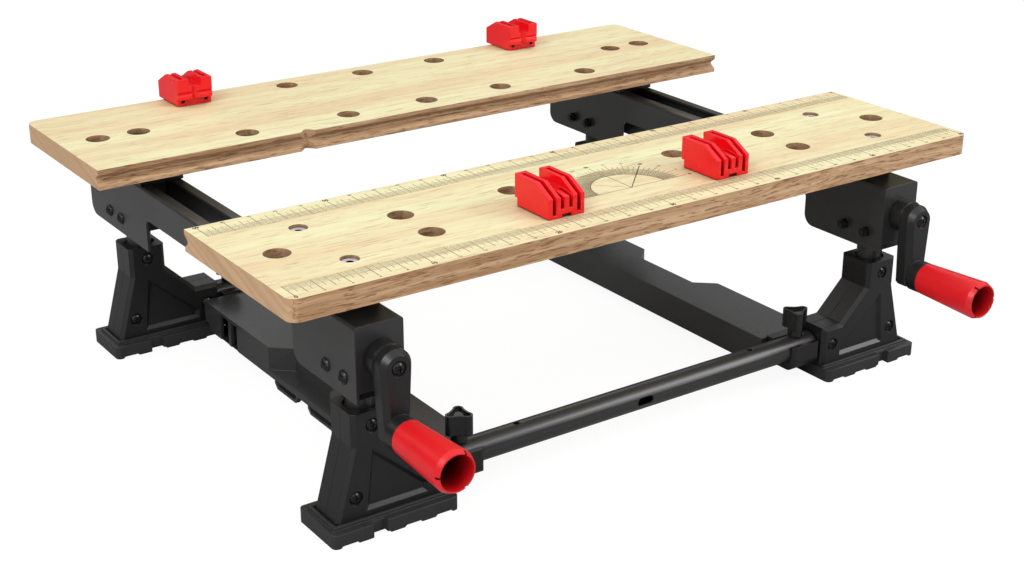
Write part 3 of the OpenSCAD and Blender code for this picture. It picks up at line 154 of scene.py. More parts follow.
def axes(tree, vector):
    """The X, Y and Z of a vector."""
    return add(tree, "SeparateXYZ", {0: vector}).outputs


def length_of(tree, parts):
    """The length of the vector with those parts, given as {axis number: value}."""
    vector = add(tree, "CombineXYZ", parts).outputs[0]
    return add(tree, "VectorMath", {0: vector}, operation="LENGTH").outputs["Value"]


# %% Helpers for patterns
HOLLOW_SAMPLES = 4


def cloud(tree, place, waves, detail=3.0, roughness=0.5):
    """Soft noise, 0 to 1, with that many waves to the metre: one number, or one for each axis."""
    waves = waves if isinstance(waves, tuple) else (waves, waves, waves)
    stretched = add(tree, "VectorMath", {0: place, 1: waves}, operation="MULTIPLY").outputs[0]
    sockets = {"Vector": stretched, "Scale": 1.0, "Detail": detail, "Roughness": roughness}
    return add(tree, "TexNoise", sockets).outputs[0]


def between(tree, value, low, high):
    """0 below low, 1 above high and a smooth rise between."""
    return add(tree, "MapRange", {"Value": value, "From Min": low, "From Max": high},
               interpolation_type="SMOOTHSTEP").outputs[0]


def blend_colours(tree, share, first, second):
    """The first colour where the share is 0, and the second where it is 1."""
    return add(tree, "Mix", {0: share, 6: first, 7: second}, data_type="RGBA").outputs[2]


def two_tone(tree, pattern, first, second):
    """A pattern in two screen colours: the first where it is low, and the second where it is high."""
    return blend_colours(tree, pattern, screen_colour(*first), screen_colour(*second))


def tinted(tree, pattern, strength, under, tint):
    """The tint, a screen colour, laid at that strength over the colour under it where the pattern shows."""
    return blend_colours(tree, sums(tree, "MULTIPLY", pattern, strength), under, screen_colour(*tint))


def darker_in_hollows(tree, colour, hollow_shade, reach, closed, open_share):
    """The colour in the open, and painted shade of the given screen colour inside holes about that deep."""
    openness = add(tree, "AmbientOcclusion", {"Distance": reach}, samples=HOLLOW_SAMPLES).outputs["AO"]
    return blend_colours(tree, between(tree, openness, closed, open_share), screen_colour(*hollow_shade), colour)


# %% Helpers that fill the shader
EDGE_SAMPLES = 6


def give_colour(tree, shader, colour):
    """Links a colour to the shader."""
    tree.links.new(colour, shader.inputs["Base Color"])


def give_roughness(tree, shader, pattern, smooth, rough):
    """Lets the roughness follow a pattern from smooth to rough."""
    roughness = add(tree, "MapRange", {"Value": pattern, "To Min": smooth, "To Max": rough}).outputs[0]
    tree.links.new(roughness, shader.inputs["Roughness"])


def relief(tree, shader, height, depth, strength=1.0, edge=0.0):
    """Turns a pattern of heights into bumps of that depth, on edges rounded by that radius."""
    sockets = {"Height": height, "Distance": depth, "Strength": strength}
    if edge:
        sockets["Normal"] = add(tree, "Bevel", {"Radius": edge}, samples=EDGE_SAMPLES).outputs[0]
    bump = add(tree, "Bump", sockets)
    tree.links.new(bump.outputs[0], shader.inputs["Normal"])


# %% [markdown]
# ## The wooden boards
#
# The real boards are pale sealed wood. On top the grain runs along the length in pinkish streaks and thin
# brown lines. On the long edges the same fibres show as a darker tan with short pores, and on the ends
# the growth rings cross in slanting bands. Edges and ends are also painted darker than the top, which is
# painted shade on faces that look sideways. One photograph of wood wrapped round the block would show the
# top's grain on every side, so the finish asks which way the surface faces and draws three grains. Little
# light gets into the holes and grooves of the real boards, so the finish is darker there too: painted shade.

# %% Grain of the top and the long edges
FIBRE_WANDER = 16 * MM
NOISE_MIDDLE = 0.5


def along_fibres(tree, place):
    """The place on the board, shifted a little from side to side on its way along the fibres."""
    off_middle = sums(tree, "SUBTRACT", cloud(tree, place, (5, 9, 9), detail=2), NOISE_MIDDLE)
    wander = sums(tree, "MULTIPLY", off_middle, FIBRE_WANDER)
    drift = add(tree, "CombineXYZ", {1: wander, 2: wander}).outputs[0]
    return add(tree, "VectorMath", {0: place, 1: drift}, operation="ADD").outputs[0]


def top_grain(tree, fibre):
    """Soft wide bands, streaks and broken hairlines: gives the colour, the streaks and the hairlines."""
    bands = between(tree, cloud(tree, fibre, (2.0, 26, 26), detail=4, roughness=0.6), low=0.36, high=0.66)
    streaks = between(tree, cloud(tree, fibre, (7, 130, 130), detail=4, roughness=0.65), low=0.46, high=0.72)
    fine_noise = cloud(tree, fibre, (38, 640, 640), detail=2, roughness=0.6)
    hairlines = between(tree, fine_noise, low=0.57, high=0.66)
    colour = two_tone(tree, bands, (233, 230, 185), (225, 203, 161))
    colour = tinted(tree, streaks, strength=0.5, under=colour, tint=(222, 186, 142))
    colour = tinted(tree, hairlines, strength=0.5, under=colour, tint=(180, 146, 102))
    return colour, streaks, hairlines


def edge_grain(tree, fibre):
    """Fine layers with short pores for the long edges, in tones darker than the top's, partly painted shade:
    gives the colour and the pores.
    """
    layers = between(tree, cloud(tree, fibre, (4, 240, 240), detail=4, roughness=0.6), low=0.36, high=0.66)
    pores = between(tree, cloud(tree, fibre, (70, 800, 800), detail=2, roughness=0.6), low=0.53, high=0.63)
    colour = two_tone(tree, layers, (202, 166, 129), (164, 126, 90))
    return tinted(tree, pores, strength=0.7, under=colour, tint=(114, 76, 48)), pores


# %% Growth rings on the ends
RING_SLOPE, RING_WOBBLE = 0.32, 4 * MM


def end_grain(tree, place):
    """Rings that run down towards the front, as thin uneven lines on soft wide bands, darker than the top
    partly as painted shade.
    """
    _, along, above = axes(tree, place)
    depth_across = sums(tree, "SUBTRACT", above, sums(tree, "MULTIPLY", along, RING_SLOPE))
    wobble = sums(tree, "MULTIPLY", cloud(tree, place, (20, 26, 26), detail=2), RING_WOBBLE)
    ring_place = add(tree, "CombineXYZ", {2: sums(tree, "ADD", depth_across, wobble)}).outputs[0]
    wide_rings = between(tree, cloud(tree, ring_place, (1, 1, 170), detail=2), low=0.38, high=0.62)
    thin_rings = between(tree, cloud(tree, ring_place, (1, 1, 420), detail=2), low=0.61, high=0.66)
    colour = two_tone(tree, wide_rings, (197, 162, 125), (183, 147, 111))
    return tinted(tree, thin_rings, strength=0.6, under=colour, tint=(138, 98, 68))


# %% Wood of the boards
def board_wood():
    """Three grains on one block: top and underside, long edges, and ends."""
    finish, tree, shader = new_finish("board_wood")
    place, facing = place_on(tree)
    facing_x, _, facing_z = axes(tree, facing)
    up_share = between(tree, sums(tree, "ABSOLUTE", facing_z), low=0.8, high=0.95)
    end_share = between(tree, sums(tree, "ABSOLUTE", facing_x), low=0.6, high=0.85)

    fibre = along_fibres(tree, place)
    top, streaks, hairlines = top_grain(tree, fibre)
    edge, pores = edge_grain(tree, fibre)
    # The sides take colours darker than the top: partly their own grain and partly painted shade.
    sides = blend_colours(tree, end_share, edge, end_grain(tree, place))
    wood_colour = blend_colours(tree, up_share, sides, top)
    # Painted shade: the wood turns dark brown inside holes and grooves, where little light gets in.
    give_colour(tree, shader, darker_in_hollows(tree, wood_colour, hollow_shade=(66, 47, 32), reach=30 * MM,
                                                closed=0.12, open_share=0.6))
    give_roughness(tree, shader, streaks, smooth=0.46, rough=0.6)
    shader.inputs["Specular IOR Level"].default_value = 0.25
    # Hairlines and pores lie below the surface, so their relief goes down.
    fine_lines = sums(tree, "ADD", hairlines, pores)
    relief(tree, shader, fine_lines, depth=-0.06 * MM, strength=0.6, edge=0.5 * MM)
    return finish


# %% [markdown]
# ## Moulded black plastic
#
# The legs, saddles, knobs and cranks are moulded in black plastic, and the side rails too.
# The mould is spark-eroded, which leaves a fine dull grain, and its edges are rounded, so each edge
# carries a thin line of light. Bevels could be cut in the mesh, but the Bevel node rounds every edge of a
# CAD part evenly and costs no faces. The knobs are polished, so theirs is the same finish with less
# roughness. The rails are a lighter, smoother plastic, and their tops show the sky above the horizon.

# %% Black plastic
MOTTLE_DOWN, MOTTLE_UP = 4, 5


def moulded_black(name="moulded_black", colour=(22, 22, 23), gloss=(0.27, 0.42)):
    """Black plastic in that screen colour, mottled a little, with a roughness between the two of gloss."""
    finish, tree, shader = new_finish(name)
    place, _ = place_on(tree)
    patches = cloud(tree, place, 28)
    grain = cloud(tree, place, 2600, detail=2, roughness=0.6)
    darker = [c - MOTTLE_DOWN for c in colour]
    lighter = [c + MOTTLE_UP for c in colour]
    give_colour(tree, shader, two_tone(tree, patches, darker, lighter))
    give_roughness(tree, shader, grain, *gloss)
    shader.inputs["Specular IOR Level"].default_value = 0.5
    relief(tree, shader, grain, depth=0.03 * MM, strength=0.4, edge=0.8 * MM)
    return finish


# %% [markdown]
# ## Powder-coated steel
#
# The channels, posts and cross tubes are folded or drawn steel under a black powder coat. Powder melts into
# a satin skin with a very slight orange peel, a little lighter and smoother than the plastic beside it.
# A plain grey with one roughness would look like card, so the peel gets a faint relief of its own.

# %% Powder coat
def powder_coat():
    """A satin black skin with a faint orange peel."""
    finish, tree, shader = new_finish("powder_coat")
    place, _ = place_on(tree)
    peel = cloud(tree, place, 420, detail=2)
    patches = cloud(tree, place, 9, detail=2)
    give_colour(tree, shader, two_tone(tree, patches, (41, 41, 41), (48, 48, 48)))
    give_roughness(tree, shader, patches, smooth=0.24, rough=0.34)
    shader.inputs["Specular IOR Level"].default_value = 0.6
    relief(tree, shader, peel, depth=0.05 * MM, strength=0.3, edge=0.7 * MM)
    return finish


# %% [markdown]
# ## Glossy red plastic
#
# The bench dogs and the crank grips are polished red mouldings. A gloss finish needs something to show
# in its highlights, so the colour is kept deep and the roughness low, with faint ripples where the plastic
# shrank in the mould. Both get the same tree with other values: a grip is duller outside and has painted
# shade deep in its long hollow, and the open grooves of a dog get almost none of it.

# %% Red plastic
def glossy_red(name, deep, bright, gloss, closed, open_share):
    """Red plastic between a deep and a bright red, with painted shade in hollows that get less than a share
    of light.
    """
    finish, tree, shader = new_finish(name)
    place, _ = place_on(tree)
    patches = cloud(tree, place, 45, detail=2)
    ripple = cloud(tree, place, 160, detail=1)
    red = two_tone(tree, patches, deep, bright)
    # Painted shade: a deep red inside hollows, where little light gets in.
    give_colour(tree, shader, darker_in_hollows(tree, red, hollow_shade=(84, 0, 4), reach=24 * MM,
                                                closed=closed, open_share=open_share))
    give_roughness(tree, shader, patches, *gloss)
    shader.inputs["Specular IOR Level"].default_value = 0.42
    relief(tree, shader, ripple, depth=0.05 * MM, strength=0.3, edge=0.7 * MM)
    return finish


# %% [markdown]
# ## Plated bolts with key sockets
#
# The bolts in the boards are bright zinc plate, and each has a socket for a key, dark with painted shade.
# The socket is in the CAD shape. Its dark could be painted by hand on each face, but the finish can find it
# by itself: it is whatever lies nearer to a bolt's axis than half the key and a little under the top of the
# head. Plate is a metal, so it takes its look from what it reflects, and fine turning marks in the
# roughness keep it from looking like a mirror.

# %% Plated bolts
SUNK_HEAD, PIVOT_WASHER, KEY_ACROSS = 12.4 * MM, 17 * MM, 6.2 * MM
SOCKET_START = 0.2 * MM
# The near black of the painted shade inside the key sockets.
SOCKET_SHADE = (7, 7, 8)


def plated_steel(bolts, widest, socket):
    """Bright plate with painted shade in near black inside the key sockets of those bolts, which stand in a
    rectangle.
    """
    finish, tree, shader = new_finish(bolts + "_plate")
    place, _ = place_on(tree)
    low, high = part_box(bolts)
    x, y, z = axes(tree, place)
    across = sums(tree, "SUBTRACT", sums(tree, "ABSOLUTE", x), high.x - widest / 2)
    from_middle = sums(tree, "ABSOLUTE", sums(tree, "SUBTRACT", y, (low.y + high.y) / 2))
    along = sums(tree, "SUBTRACT", from_middle, (high.y - low.y - widest) / 2)
    near_axis = sums(tree, "LESS_THAN", length_of(tree, {0: across, 1: along}), socket / 2)
    in_socket = sums(tree, "MULTIPLY", near_axis, sums(tree, "LESS_THAN", z, high.z - SOCKET_START))
    turning = cloud(tree, place, (900, 2400, 900), detail=2)
    bright = two_tone(tree, turning, (206, 204, 214), (236, 235, 244))
    # Painted shade: the key sockets take the near black.
    give_colour(tree, shader, blend_colours(tree, in_socket, bright, screen_colour(*SOCKET_SHADE)))
    give_roughness(tree, shader, turning, smooth=0.3, rough=0.46)
    shader.inputs["Metallic"].default_value = 0.5
    relief(tree, shader, turning, depth=0.02 * MM, strength=0.3, edge=0.2 * MM)
    return finish


# %% [markdown]
# ## The thread of the long screws
#
# Both long screws carry a thread that moves the rear board 5 mm with each turn. A real spiral in the mesh
# would need many thousands of faces for something that mostly hides under the boards. A thread is the same
# pattern on every turn, so the finish works it out: the angle round the axis and the way along it are added
# up, and the sum rises and falls once in each lead. Only the shaft between core and crest gets it. The
# roots are painted a darker grey than the crests, as painted shade; the screw off the thread takes that grey
# too.

# %% Thread
SCREW_LEAD = 5 * MM
THREAD_CORE, THREAD_CREST = 4.6 * MM, 5.2 * MM
screw_low, screw_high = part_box("right_screw")
screw_axis = (screw_low + screw_high) / 2
print("right screw's axis in mm: x", round(screw_axis.x / MM, 1), "and height", round(screw_axis.z / MM, 1))


def threaded_steel():
    """Plated steel with a thread of one turn every SCREW_LEAD, cut where the shaft is full width."""
    finish, tree, shader = new_finish("threaded_steel")
    place, _ = place_on(tree)
    x, y, z = axes(tree, place)
    across = sums(tree, "SUBTRACT", x, sums(tree, "MULTIPLY", sums(tree, "SIGN", x), screw_axis.x))
    above = sums(tree, "SUBTRACT", z, screw_axis.z)
    turn = sums(tree, "DIVIDE", sums(tree, "ARCTAN2", above, across), 2 * math.pi)
    ridge = sums(tree, "PINGPONG", sums(tree, "ADD", sums(tree, "DIVIDE", y, SCREW_LEAD), turn), 0.5)
    away = length_of(tree, {0: across, 2: above})
    on_thread = sums(tree, "MULTIPLY", sums(tree, "LESS_THAN", away, THREAD_CREST),
                     sums(tree, "GREATER_THAN", away, THREAD_CORE))
    crest_and_root_shade = sums(tree, "MULTIPLY", between(tree, ridge, low=0.1, high=0.4), on_thread)
    # Painted shade: the roots of the thread are darker grey than the crests, and the screw off the thread
    # takes that grey too.
    give_colour(tree, shader, two_tone(tree, crest_and_root_shade, (120, 118, 122), (208, 207, 214)))
    shader.inputs["Metallic"].default_value = 1.0
    shader.inputs["Roughness"].default_value = 0.32
    relief(tree, shader, crest_and_root_shade, depth=1.0 * MM)
    return finish


# %% [markdown]
# ## Dark screws, rubber soles and painted shade for sockets
#
# The screws of the legs and cranks and the bolts and nuts of the channels are blackened steel, half metal
# and half dark skin. Under the feet is firm rubber, slightly shiny, with soft round edges. The third finish
# is painted shade, for places where almost no light comes back: star sockets and the inside of the rails.
# One flat black would nearly do for that, but a little grime keeps it from looking like a hole in the
# picture.

# %% Dark finishes
def blackened_steel():
    """Dark, half-metal steel with fine turning marks."""
    finish, tree, shader = new_finish("blackened_steel")
    place, _ = place_on(tree)
    turning = cloud(tree, place, 1500, detail=2)
    give_colour(tree, shader, two_tone(tree, turning, (28, 28, 30), (52, 52, 54)))
    give_roughness(tree, shader, turning, smooth=0.16, rough=0.3)
    shader.inputs["Metallic"].default_value = 0.55
    relief(tree, shader, turning, depth=0.02 * MM, strength=0.3, edge=0.3 * MM)
    return finish


def sole_rubber():
    """Firm grey-black rubber with a fine grain."""
    finish, tree, shader = new_finish("sole_rubber")
    place, _ = place_on(tree)
    grain = cloud(tree, place, 1400, roughness=0.7)
    give_colour(tree, shader, two_tone(tree, grain, (33, 33, 34), (48, 48, 49)))
    give_roughness(tree, shader, grain, smooth=0.36, rough=0.54)
    relief(tree, shader, grain, depth=0.05 * MM, strength=0.4, edge=1.5 * MM)
    return finish


def socket_black():
    """Painted shade: near black with a little grime, for places that almost no light leaves."""
    finish, tree, shader = new_finish("socket_black")
    place, _ = place_on(tree)
    grime = cloud(tree, place, 1800, detail=2)
    give_colour(tree, shader, two_tone(tree, grime, (8, 8, 8), (18, 18, 19)))
    shader.inputs["Roughness"].default_value = 0.8
    return finish


# %% [markdown]
# ## Each part gets its finish
#
# The CAD parts keep their shapes, and only the material in their slots changes. A list with all 59 parts
# would be long and easy to get wrong. Every part of this bench is called by its place and then its kind,
# as in front_left_knob, so the finish is found from the end of the part's name.

# %% Finishes on the parts
wood = board_wood()
black = moulded_black()
polished = moulded_black("polished_black", gloss=(0.14, 0.24))
satin = moulded_black("satin_black", colour=(52, 52, 53), gloss=(0.22, 0.34))
coat = powder_coat()
dog_red = glossy_red("dog_red", deep=(228, 9, 20), bright=(240, 16, 26), gloss=(0.2, 0.3),
                     closed=0.04, open_share=0.26)
grip_red = glossy_red("grip_red", deep=(212, 18, 27), bright=(226, 24, 33), gloss=(0.28, 0.38),
                      closed=0.24, open_share=0.66)
board_plate = plated_steel("board_bolts", SUNK_HEAD, KEY_ACROSS)
pivot_plate = plated_steel("pivot_bolts", PIVOT_WASHER, KEY_ACROSS)
thread = threaded_steel()
blackened = blackened_steel()
rubber = sole_rubber()
painted_shade_dark = socket_black()

FINISH_BY_KIND = {
    "board": wood, "channel": coat, "post": coat, "tube": coat,
    "socket": black, "cover": black, "foot": black, "saddle": black, "knob": polished, "rail": satin,
    "crank": black, "bushing": black, "slider": black, "spacer": black,
    "dog": dog_red, "grip": grip_red, "sole": rubber,
    "left_screw": thread, "right_screw": thread, "board_bolts": board_plate, "pivot_bolts": pivot_plate,
    "crank_screw": blackened, "foot_screws": blackened, "side_bolts": blackened, "lock_nuts": blackened,
}


def finish_of(part_name):
    """The finish of the longest kind that the part's name ends with."""
    kinds = [kind for kind in FINISH_BY_KIND if part_name.endswith(kind)]
    return FINISH_BY_KIND[max(kinds, key=len)]


for part_name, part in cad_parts.items():
    part.data.materials.clear()
    part.data.materials.append(finish_of(part_name))
print("parts per finish:", {finish.name: finish.users for finish in dict.fromkeys(FINISH_BY_KIND.values())})

# %% [markdown]
# ## Star sockets in the side bolts
#
# The round heads on the sides of the channels have a small star-shaped socket for the driver. At this size
# only its dark star can be seen, so each one is a thin star of painted shade that follows the dome of the
# head.
# The rings of the star are lifted a hair off the dome, and the dome's height at a ring comes from its
# radius, as on any ball. Every piece added from here on is drawn as a sheet of faces first, so one helper
# turns such a sheet into a piece of the scene.

# %% A new piece from a sheet of faces
def new_piece(name, sheet, finish):
    """Puts the faces drawn in the sheet into the scene as one piece with that finish."""
    mesh = bpy.data.meshes.new(name)
    sheet.to_mesh(mesh)
    sheet.free()
    mesh.materials.append(finish)
    piece = bpy.data.objects.new(name, mesh)
    bpy.context.scene.collection.objects.link(piece)
    return piece


# %% Star sockets
DOME_WIDTH, DOME_HEIGHT = 10.4 * MM, 3.0 * MM
BOLT_PAIR = 23.5 * MM
STAR_RADIUS, STAR_VALLEY = 2.5 * MM, 0.62
STAR_POINTS = 6
RING_SHARES = (0.0, 0.35, 0.7, 1.0)
HAIR, WELD = 0.03 * MM, 0.001 * MM
CORNERS = 2 * STAR_POINTS


def star_ring(sheet, centre, share, ball):
    """One ring of a star, as large as that share of it, on a dome that is part of a ball of that radius."""
    side = math.copysign(1, centre.x)
    ring = []
    for i in range(CORNERS):
        reach = STAR_RADIUS * share * (1.0 if i % 2 == 0 else STAR_VALLEY)
        angle = i * math.pi / STAR_POINTS
        lift = math.sqrt(ball ** 2 - reach ** 2) - ball + HAIR
        corner = Vector((side * lift, reach * math.cos(angle), reach * math.sin(angle)))
        ring.append(sheet.verts.new(centre + corner))
    return ring


def star_sockets(centres):
    """Stars of painted shade on domed heads that face away from the middle of the bench."""
    # The dome is the cap of a ball, whose radius follows from the cap's width and height.
    ball = (DOME_WIDTH ** 2 / 4 + DOME_HEIGHT ** 2) / (2 * DOME_HEIGHT)
    sheet = bmesh.new()
    for centre in centres:
        rings = [star_ring(sheet, centre, share, ball) for share in RING_SHARES]
        for inner, outer in zip(rings, rings[1:]):
            for i in range(CORNERS):
                j = (i + 1) % CORNERS
                sheet.faces.new((inner[i], outer[i], outer[j], inner[j]))
    bmesh.ops.remove_doubles(sheet, verts=sheet.verts, dist=WELD)
    bmesh.ops.recalc_face_normals(sheet, faces=sheet.faces)
    piece = new_piece("star_sockets", sheet, painted_shade_dark)
    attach(piece, "frame")
    print(piece.name, "has", len(piece.data.polygons), "faces on", len(centres), "heads")


bolts_low, bolts_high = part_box("side_bolts")
bolt_z = (bolts_low.z + bolts_high.z) / 2
bolt_front = bolts_low.y + DOME_WIDTH / 2
bolt_rear = bolts_high.y - DOME_WIDTH / 2
dome_tops = [Vector((x, y, bolt_z)) for x in (bolts_low.x, bolts_high.x)
             for y in (bolt_front, bolt_front + BOLT_PAIR, bolt_rear - BOLT_PAIR, bolt_rear)]
star_sockets(dome_tops)

# %% [markdown]
# ## The dark floors in the side rails
#
# Near its rear end each side rail has two upright slots in its outer wall, and the photograph shows nothing
# but black through them. A hollow rail that is open below would show the pale ground there, so the moulding
# is closed low inside, behind the slots. Dark paint in the slots would only work from one side. A thin
# plate works from every side, so each rail gets one from just ahead of its slots to its rear end.
# The plate closes the rail, and its near black is painted shade.

# %% Rail floors
RAIL_DEPTH = 25.4 * MM
RAIL_FLOOR_THICKNESS, RAIL_FLOOR_LIFT = 1.0 * MM, 0.2 * MM
RAIL_FLOOR_LENGTH = 63.5 * MM
RAIL_FLOOR_EDGE, SOLE_GAP = 0.5 * MM, 0.1 * MM


def slab(sheet, xs, ys, zs):
    """A flat block between two values on each axis."""
    for corner in bmesh.ops.create_cube(sheet, size=1)["verts"]:
        corner.co = Vector((xs[corner.co.x > 0], ys[corner.co.y > 0], zs[corner.co.z > 0]))


def rail_floor(rail, sole):
    """A thin plate of painted shade, near black, low in the rail's rear end. It leaves out the corner where
    the rubber sole lies.
    """
    low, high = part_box(rail)
    sole_low, sole_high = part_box(sole)
    underside = high.z - RAIL_DEPTH + RAIL_FLOOR_LIFT
    zs = (underside, underside + RAIL_FLOOR_THICKNESS)
    front, before_sole, rear = high.y - RAIL_FLOOR_LENGTH, sole_low.y - SOLE_GAP, high.y - RAIL_FLOOR_EDGE
    left, right = low.x + RAIL_FLOOR_EDGE, high.x - RAIL_FLOOR_EDGE
    beside_sole = (sole_high.x + SOLE_GAP, right) if high.x < 0 else (left, sole_low.x - SOLE_GAP)
    sheet = bmesh.new()
    slab(sheet, (left, right), (front, before_sole), zs)
    slab(sheet, beside_sole, (before_sole, rear), zs)
    piece = new_piece(rail + "_floor", sheet, painted_shade_dark)
    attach(piece, "frame")
    print(piece.name, "in mm:", [round(side / MM, 1) for side in piece.dimensions])


rail_floor("left_rail", "rear_left_sole")
rail_floor("right_rail", "rear_right_sole")

# %% [markdown]
# ## Ink and marks
#
# Two rulers are printed on the front board, one along each long edge, and a protractor between the dogs.
# The print could be part of the wood's finish, but a print that is a mesh of its own stays sharp at any size
# and stays with the model if it is exported. Each mark is a thin flat face that lies a hair above the wood.
# All marks are measured from the board's front edge, where the CAD calls that distance a station.

# %% Ink and marks
# The places, widths and heights of the print are plain millimetres, which the helpers turn into metres.
DIGIT_SHARE = 0.72
THIN_SWELL, BOLD_SWELL = 0.06 * MM, 0.2 * MM


def printing_ink():
    """Brown-black ink that is worn a little thin in places."""
    finish, tree, shader = new_finish("printing_ink")
    place, _ = place_on(tree)
    worn = between(tree, cloud(tree, place, 300, roughness=0.6), low=0.3, high=0.75)
    give_colour(tree, shader, two_tone(tree, worn, (44, 24, 14), (80, 52, 36)))
    shader.inputs["Roughness"].default_value = 0.6
    shader.inputs["Specular IOR Level"].default_value = 0.2
    return finish


ink = printing_ink()
board_low, board_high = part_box("front_board")
PRINT_HEIGHT = board_high.z + HAIR


def on_board(x_mm, station_mm):
    """A point of the print, from the middle of the board and from its front edge."""
    return Vector((x_mm * MM, board_low.y + station_mm * MM, PRINT_HEIGHT))


def mark(sheet, start, end, width_mm):
    """A straight mark: a flat face of that width from start to end, which faces up."""
    along = (end - start).normalized()
    across = Vector((-along.y, along.x, 0)) * width_mm * MM / 2
    corners = [sheet.verts.new(p) for p in (start - across, end - across, end + across, start + across)]
    face = sheet.faces.new(corners)
    face.normal_update()
    if face.normal.z < 0:
        face.normal_flip()


def number(sheet, text, centre, height_mm, turned=False, bold=False):
    """A printed number, from Blender's own letters, as flat faces on the board."""
    letters = bpy.data.curves.new("letters", "FONT")
    letters.body, letters.size = text, height_mm / DIGIT_SHARE * MM
    letters.align_x, letters.align_y = "CENTER", "CENTER"
    letters.offset = BOLD_SWELL if bold else THIN_SWELL
    holder = bpy.data.objects.new("letters", letters)
    bpy.context.scene.collection.objects.link(holder)
    shape = bpy.data.meshes.new_from_object(holder.evaluated_get(bpy.context.evaluated_depsgraph_get()))
    shape.transform(Matrix.Translation(centre) @ Matrix.Rotation(math.pi if turned else 0, 4, "Z"))
    sheet.from_mesh(shape)
    bpy.data.objects.remove(holder)
    bpy.data.meshes.remove(shape)
    bpy.data.curves.remove(letters)


def print_on_board(name, sheet):
    """Makes one piece of the marks gathered in the sheet, and lets it ride with the front board."""
    piece = new_piece(name, sheet, ink)
    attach(piece, "frame")
    print(name, "has", len(piece.data.polygons), "faces")


# %% [markdown]
# ## Two rulers of 60 centimetres
#
# Each ruler is a comb. All its teeth start on one line: a millimetre tooth is short, every fifth is longer,
# every tenth longer again, and every twentieth reaches the numbers. The rear ruler is the same print turned
# half round, so that it reads from the other side of the bench. One function draws both, with a direction.

# %% Rulers
RULER_LENGTH = 600
STEPS = (1, 5, 10, 20)
STEP_WIDTHS = (0.19, 0.3, 0.38, 0.46)
SMALL_NUMBER, BOLD_NUMBER = 2.2, 3.3
BOLD_EVERY = 100


def rank_of(count, steps):
    """Which of the steps, counted from 0, is the last one that divides the count."""
    return max(i for i, step in enumerate(steps) if count % step == 0)


def ruler(name, zero_x, direction, base, reaches, number_station):
    """A comb from the station base, whose marks of 1, 5, 10 and 20 mm run to the stations in reaches."""
    sheet = bmesh.new()
    for millimetre in range(RULER_LENGTH + 1):
        x = zero_x + direction * millimetre
        rank = rank_of(millimetre, STEPS)
        mark(sheet, on_board(x, base), on_board(x, reaches[rank]), STEP_WIDTHS[rank])
        if millimetre % STEPS[-1] == 0:
            bold = millimetre % BOLD_EVERY == 0
            height = BOLD_NUMBER if bold else SMALL_NUMBER
            number(sheet, str(millimetre // 10), on_board(x, number_station), height,
                   turned=direction < 0, bold=bold)
    print_on_board(name, sheet)


ruler("front_ruler_print", zero_x=-299.0, direction=1, base=24.0,
      reaches=(14.7, 11.0, 7.0, 5.6), number_station=3.6)
ruler("rear_ruler_print", zero_x=302.2, direction=-1, base=130.2,
      reaches=(140.0, 143.6, 146.6, 148.2), number_station=150.6)

# %% [markdown]
# ## The protractor
#
# The protractor is a half circle of degree marks around a point near the front dogs, for setting a mitre
# against the jaw. It could be a picture laid on the board, but it is drawn with the same marks and numbers
# as the rulers, now in polar steps, so all the print has one look and stays sharp.

# %% Protractor
CENTRE_STATION = 49.3
HALF_TURN = 180
DEGREE_STEPS = (1, 5, 15)
DEGREE_REACHES, DEGREE_WIDTHS = (43.5, 47.8, 51.5), (0.22, 0.34, 0.34)
INNER_RING, ARC_WIDTH, NUMBER_RING = 30.0, 0.4, 55.2
SMALL_ANGLE, BOLD_ANGLE = 2.1, 2.6
BOLD_DEGREES = 45
SPOKE_WIDTHS = {0: 0.4, 45: 0.7, 90: 0.5, 135: 0.3, 180: 0.4}


def polar(radius, degrees):
    """A point of the protractor, from its centre."""
    angle = math.radians(degrees)
    return on_board(radius * math.cos(angle), CENTRE_STATION + radius * math.sin(angle))


def protractor():
    """Degree marks on a ring, longer ones at every 5 and 15 degrees, and five spokes from the centre."""
    sheet = bmesh.new()
    for degrees in range(HALF_TURN + 1):
        rank = rank_of(degrees, DEGREE_STEPS)
        mark(sheet, polar(INNER_RING, degrees), polar(DEGREE_REACHES[rank], degrees), DEGREE_WIDTHS[rank])
        if degrees:
            mark(sheet, polar(INNER_RING, degrees - 1), polar(INNER_RING, degrees), ARC_WIDTH)
        if degrees % DEGREE_STEPS[-1] == 0:
            bold = degrees % BOLD_DEGREES == 0
            height = BOLD_ANGLE if bold else SMALL_ANGLE
            number(sheet, str(degrees), polar(NUMBER_RING, degrees), height, bold=bold)
    for degrees, width in SPOKE_WIDTHS.items():
        mark(sheet, polar(0, degrees), polar(DEGREE_REACHES[-1], degrees), width)
    print_on_board("protractor_print", sheet)


protractor()

# %% [markdown]
# ## The floor
#
# The photograph was taken in a white studio, on a pale floor that runs on out of the picture. A plain grey
# plane would show its own shading and stop the white. Here the floor glows a little towards the camera, so
# that it reads as white and still keeps the bench's shadow. In reflections it is darker, because
# otherwise the upright black faces would all look grey.

# %% Floor
FLOOR_HALF = 12.0
FLOOR_GREY, FLOOR_IN_REFLECTIONS = (0.62, 0.62, 0.62, 1), (0.34, 0.34, 0.34, 1)
WHITE = (1, 1, 1, 1)
GLOW_STRENGTH, GLOW_SHARE = 1.11, 0.83


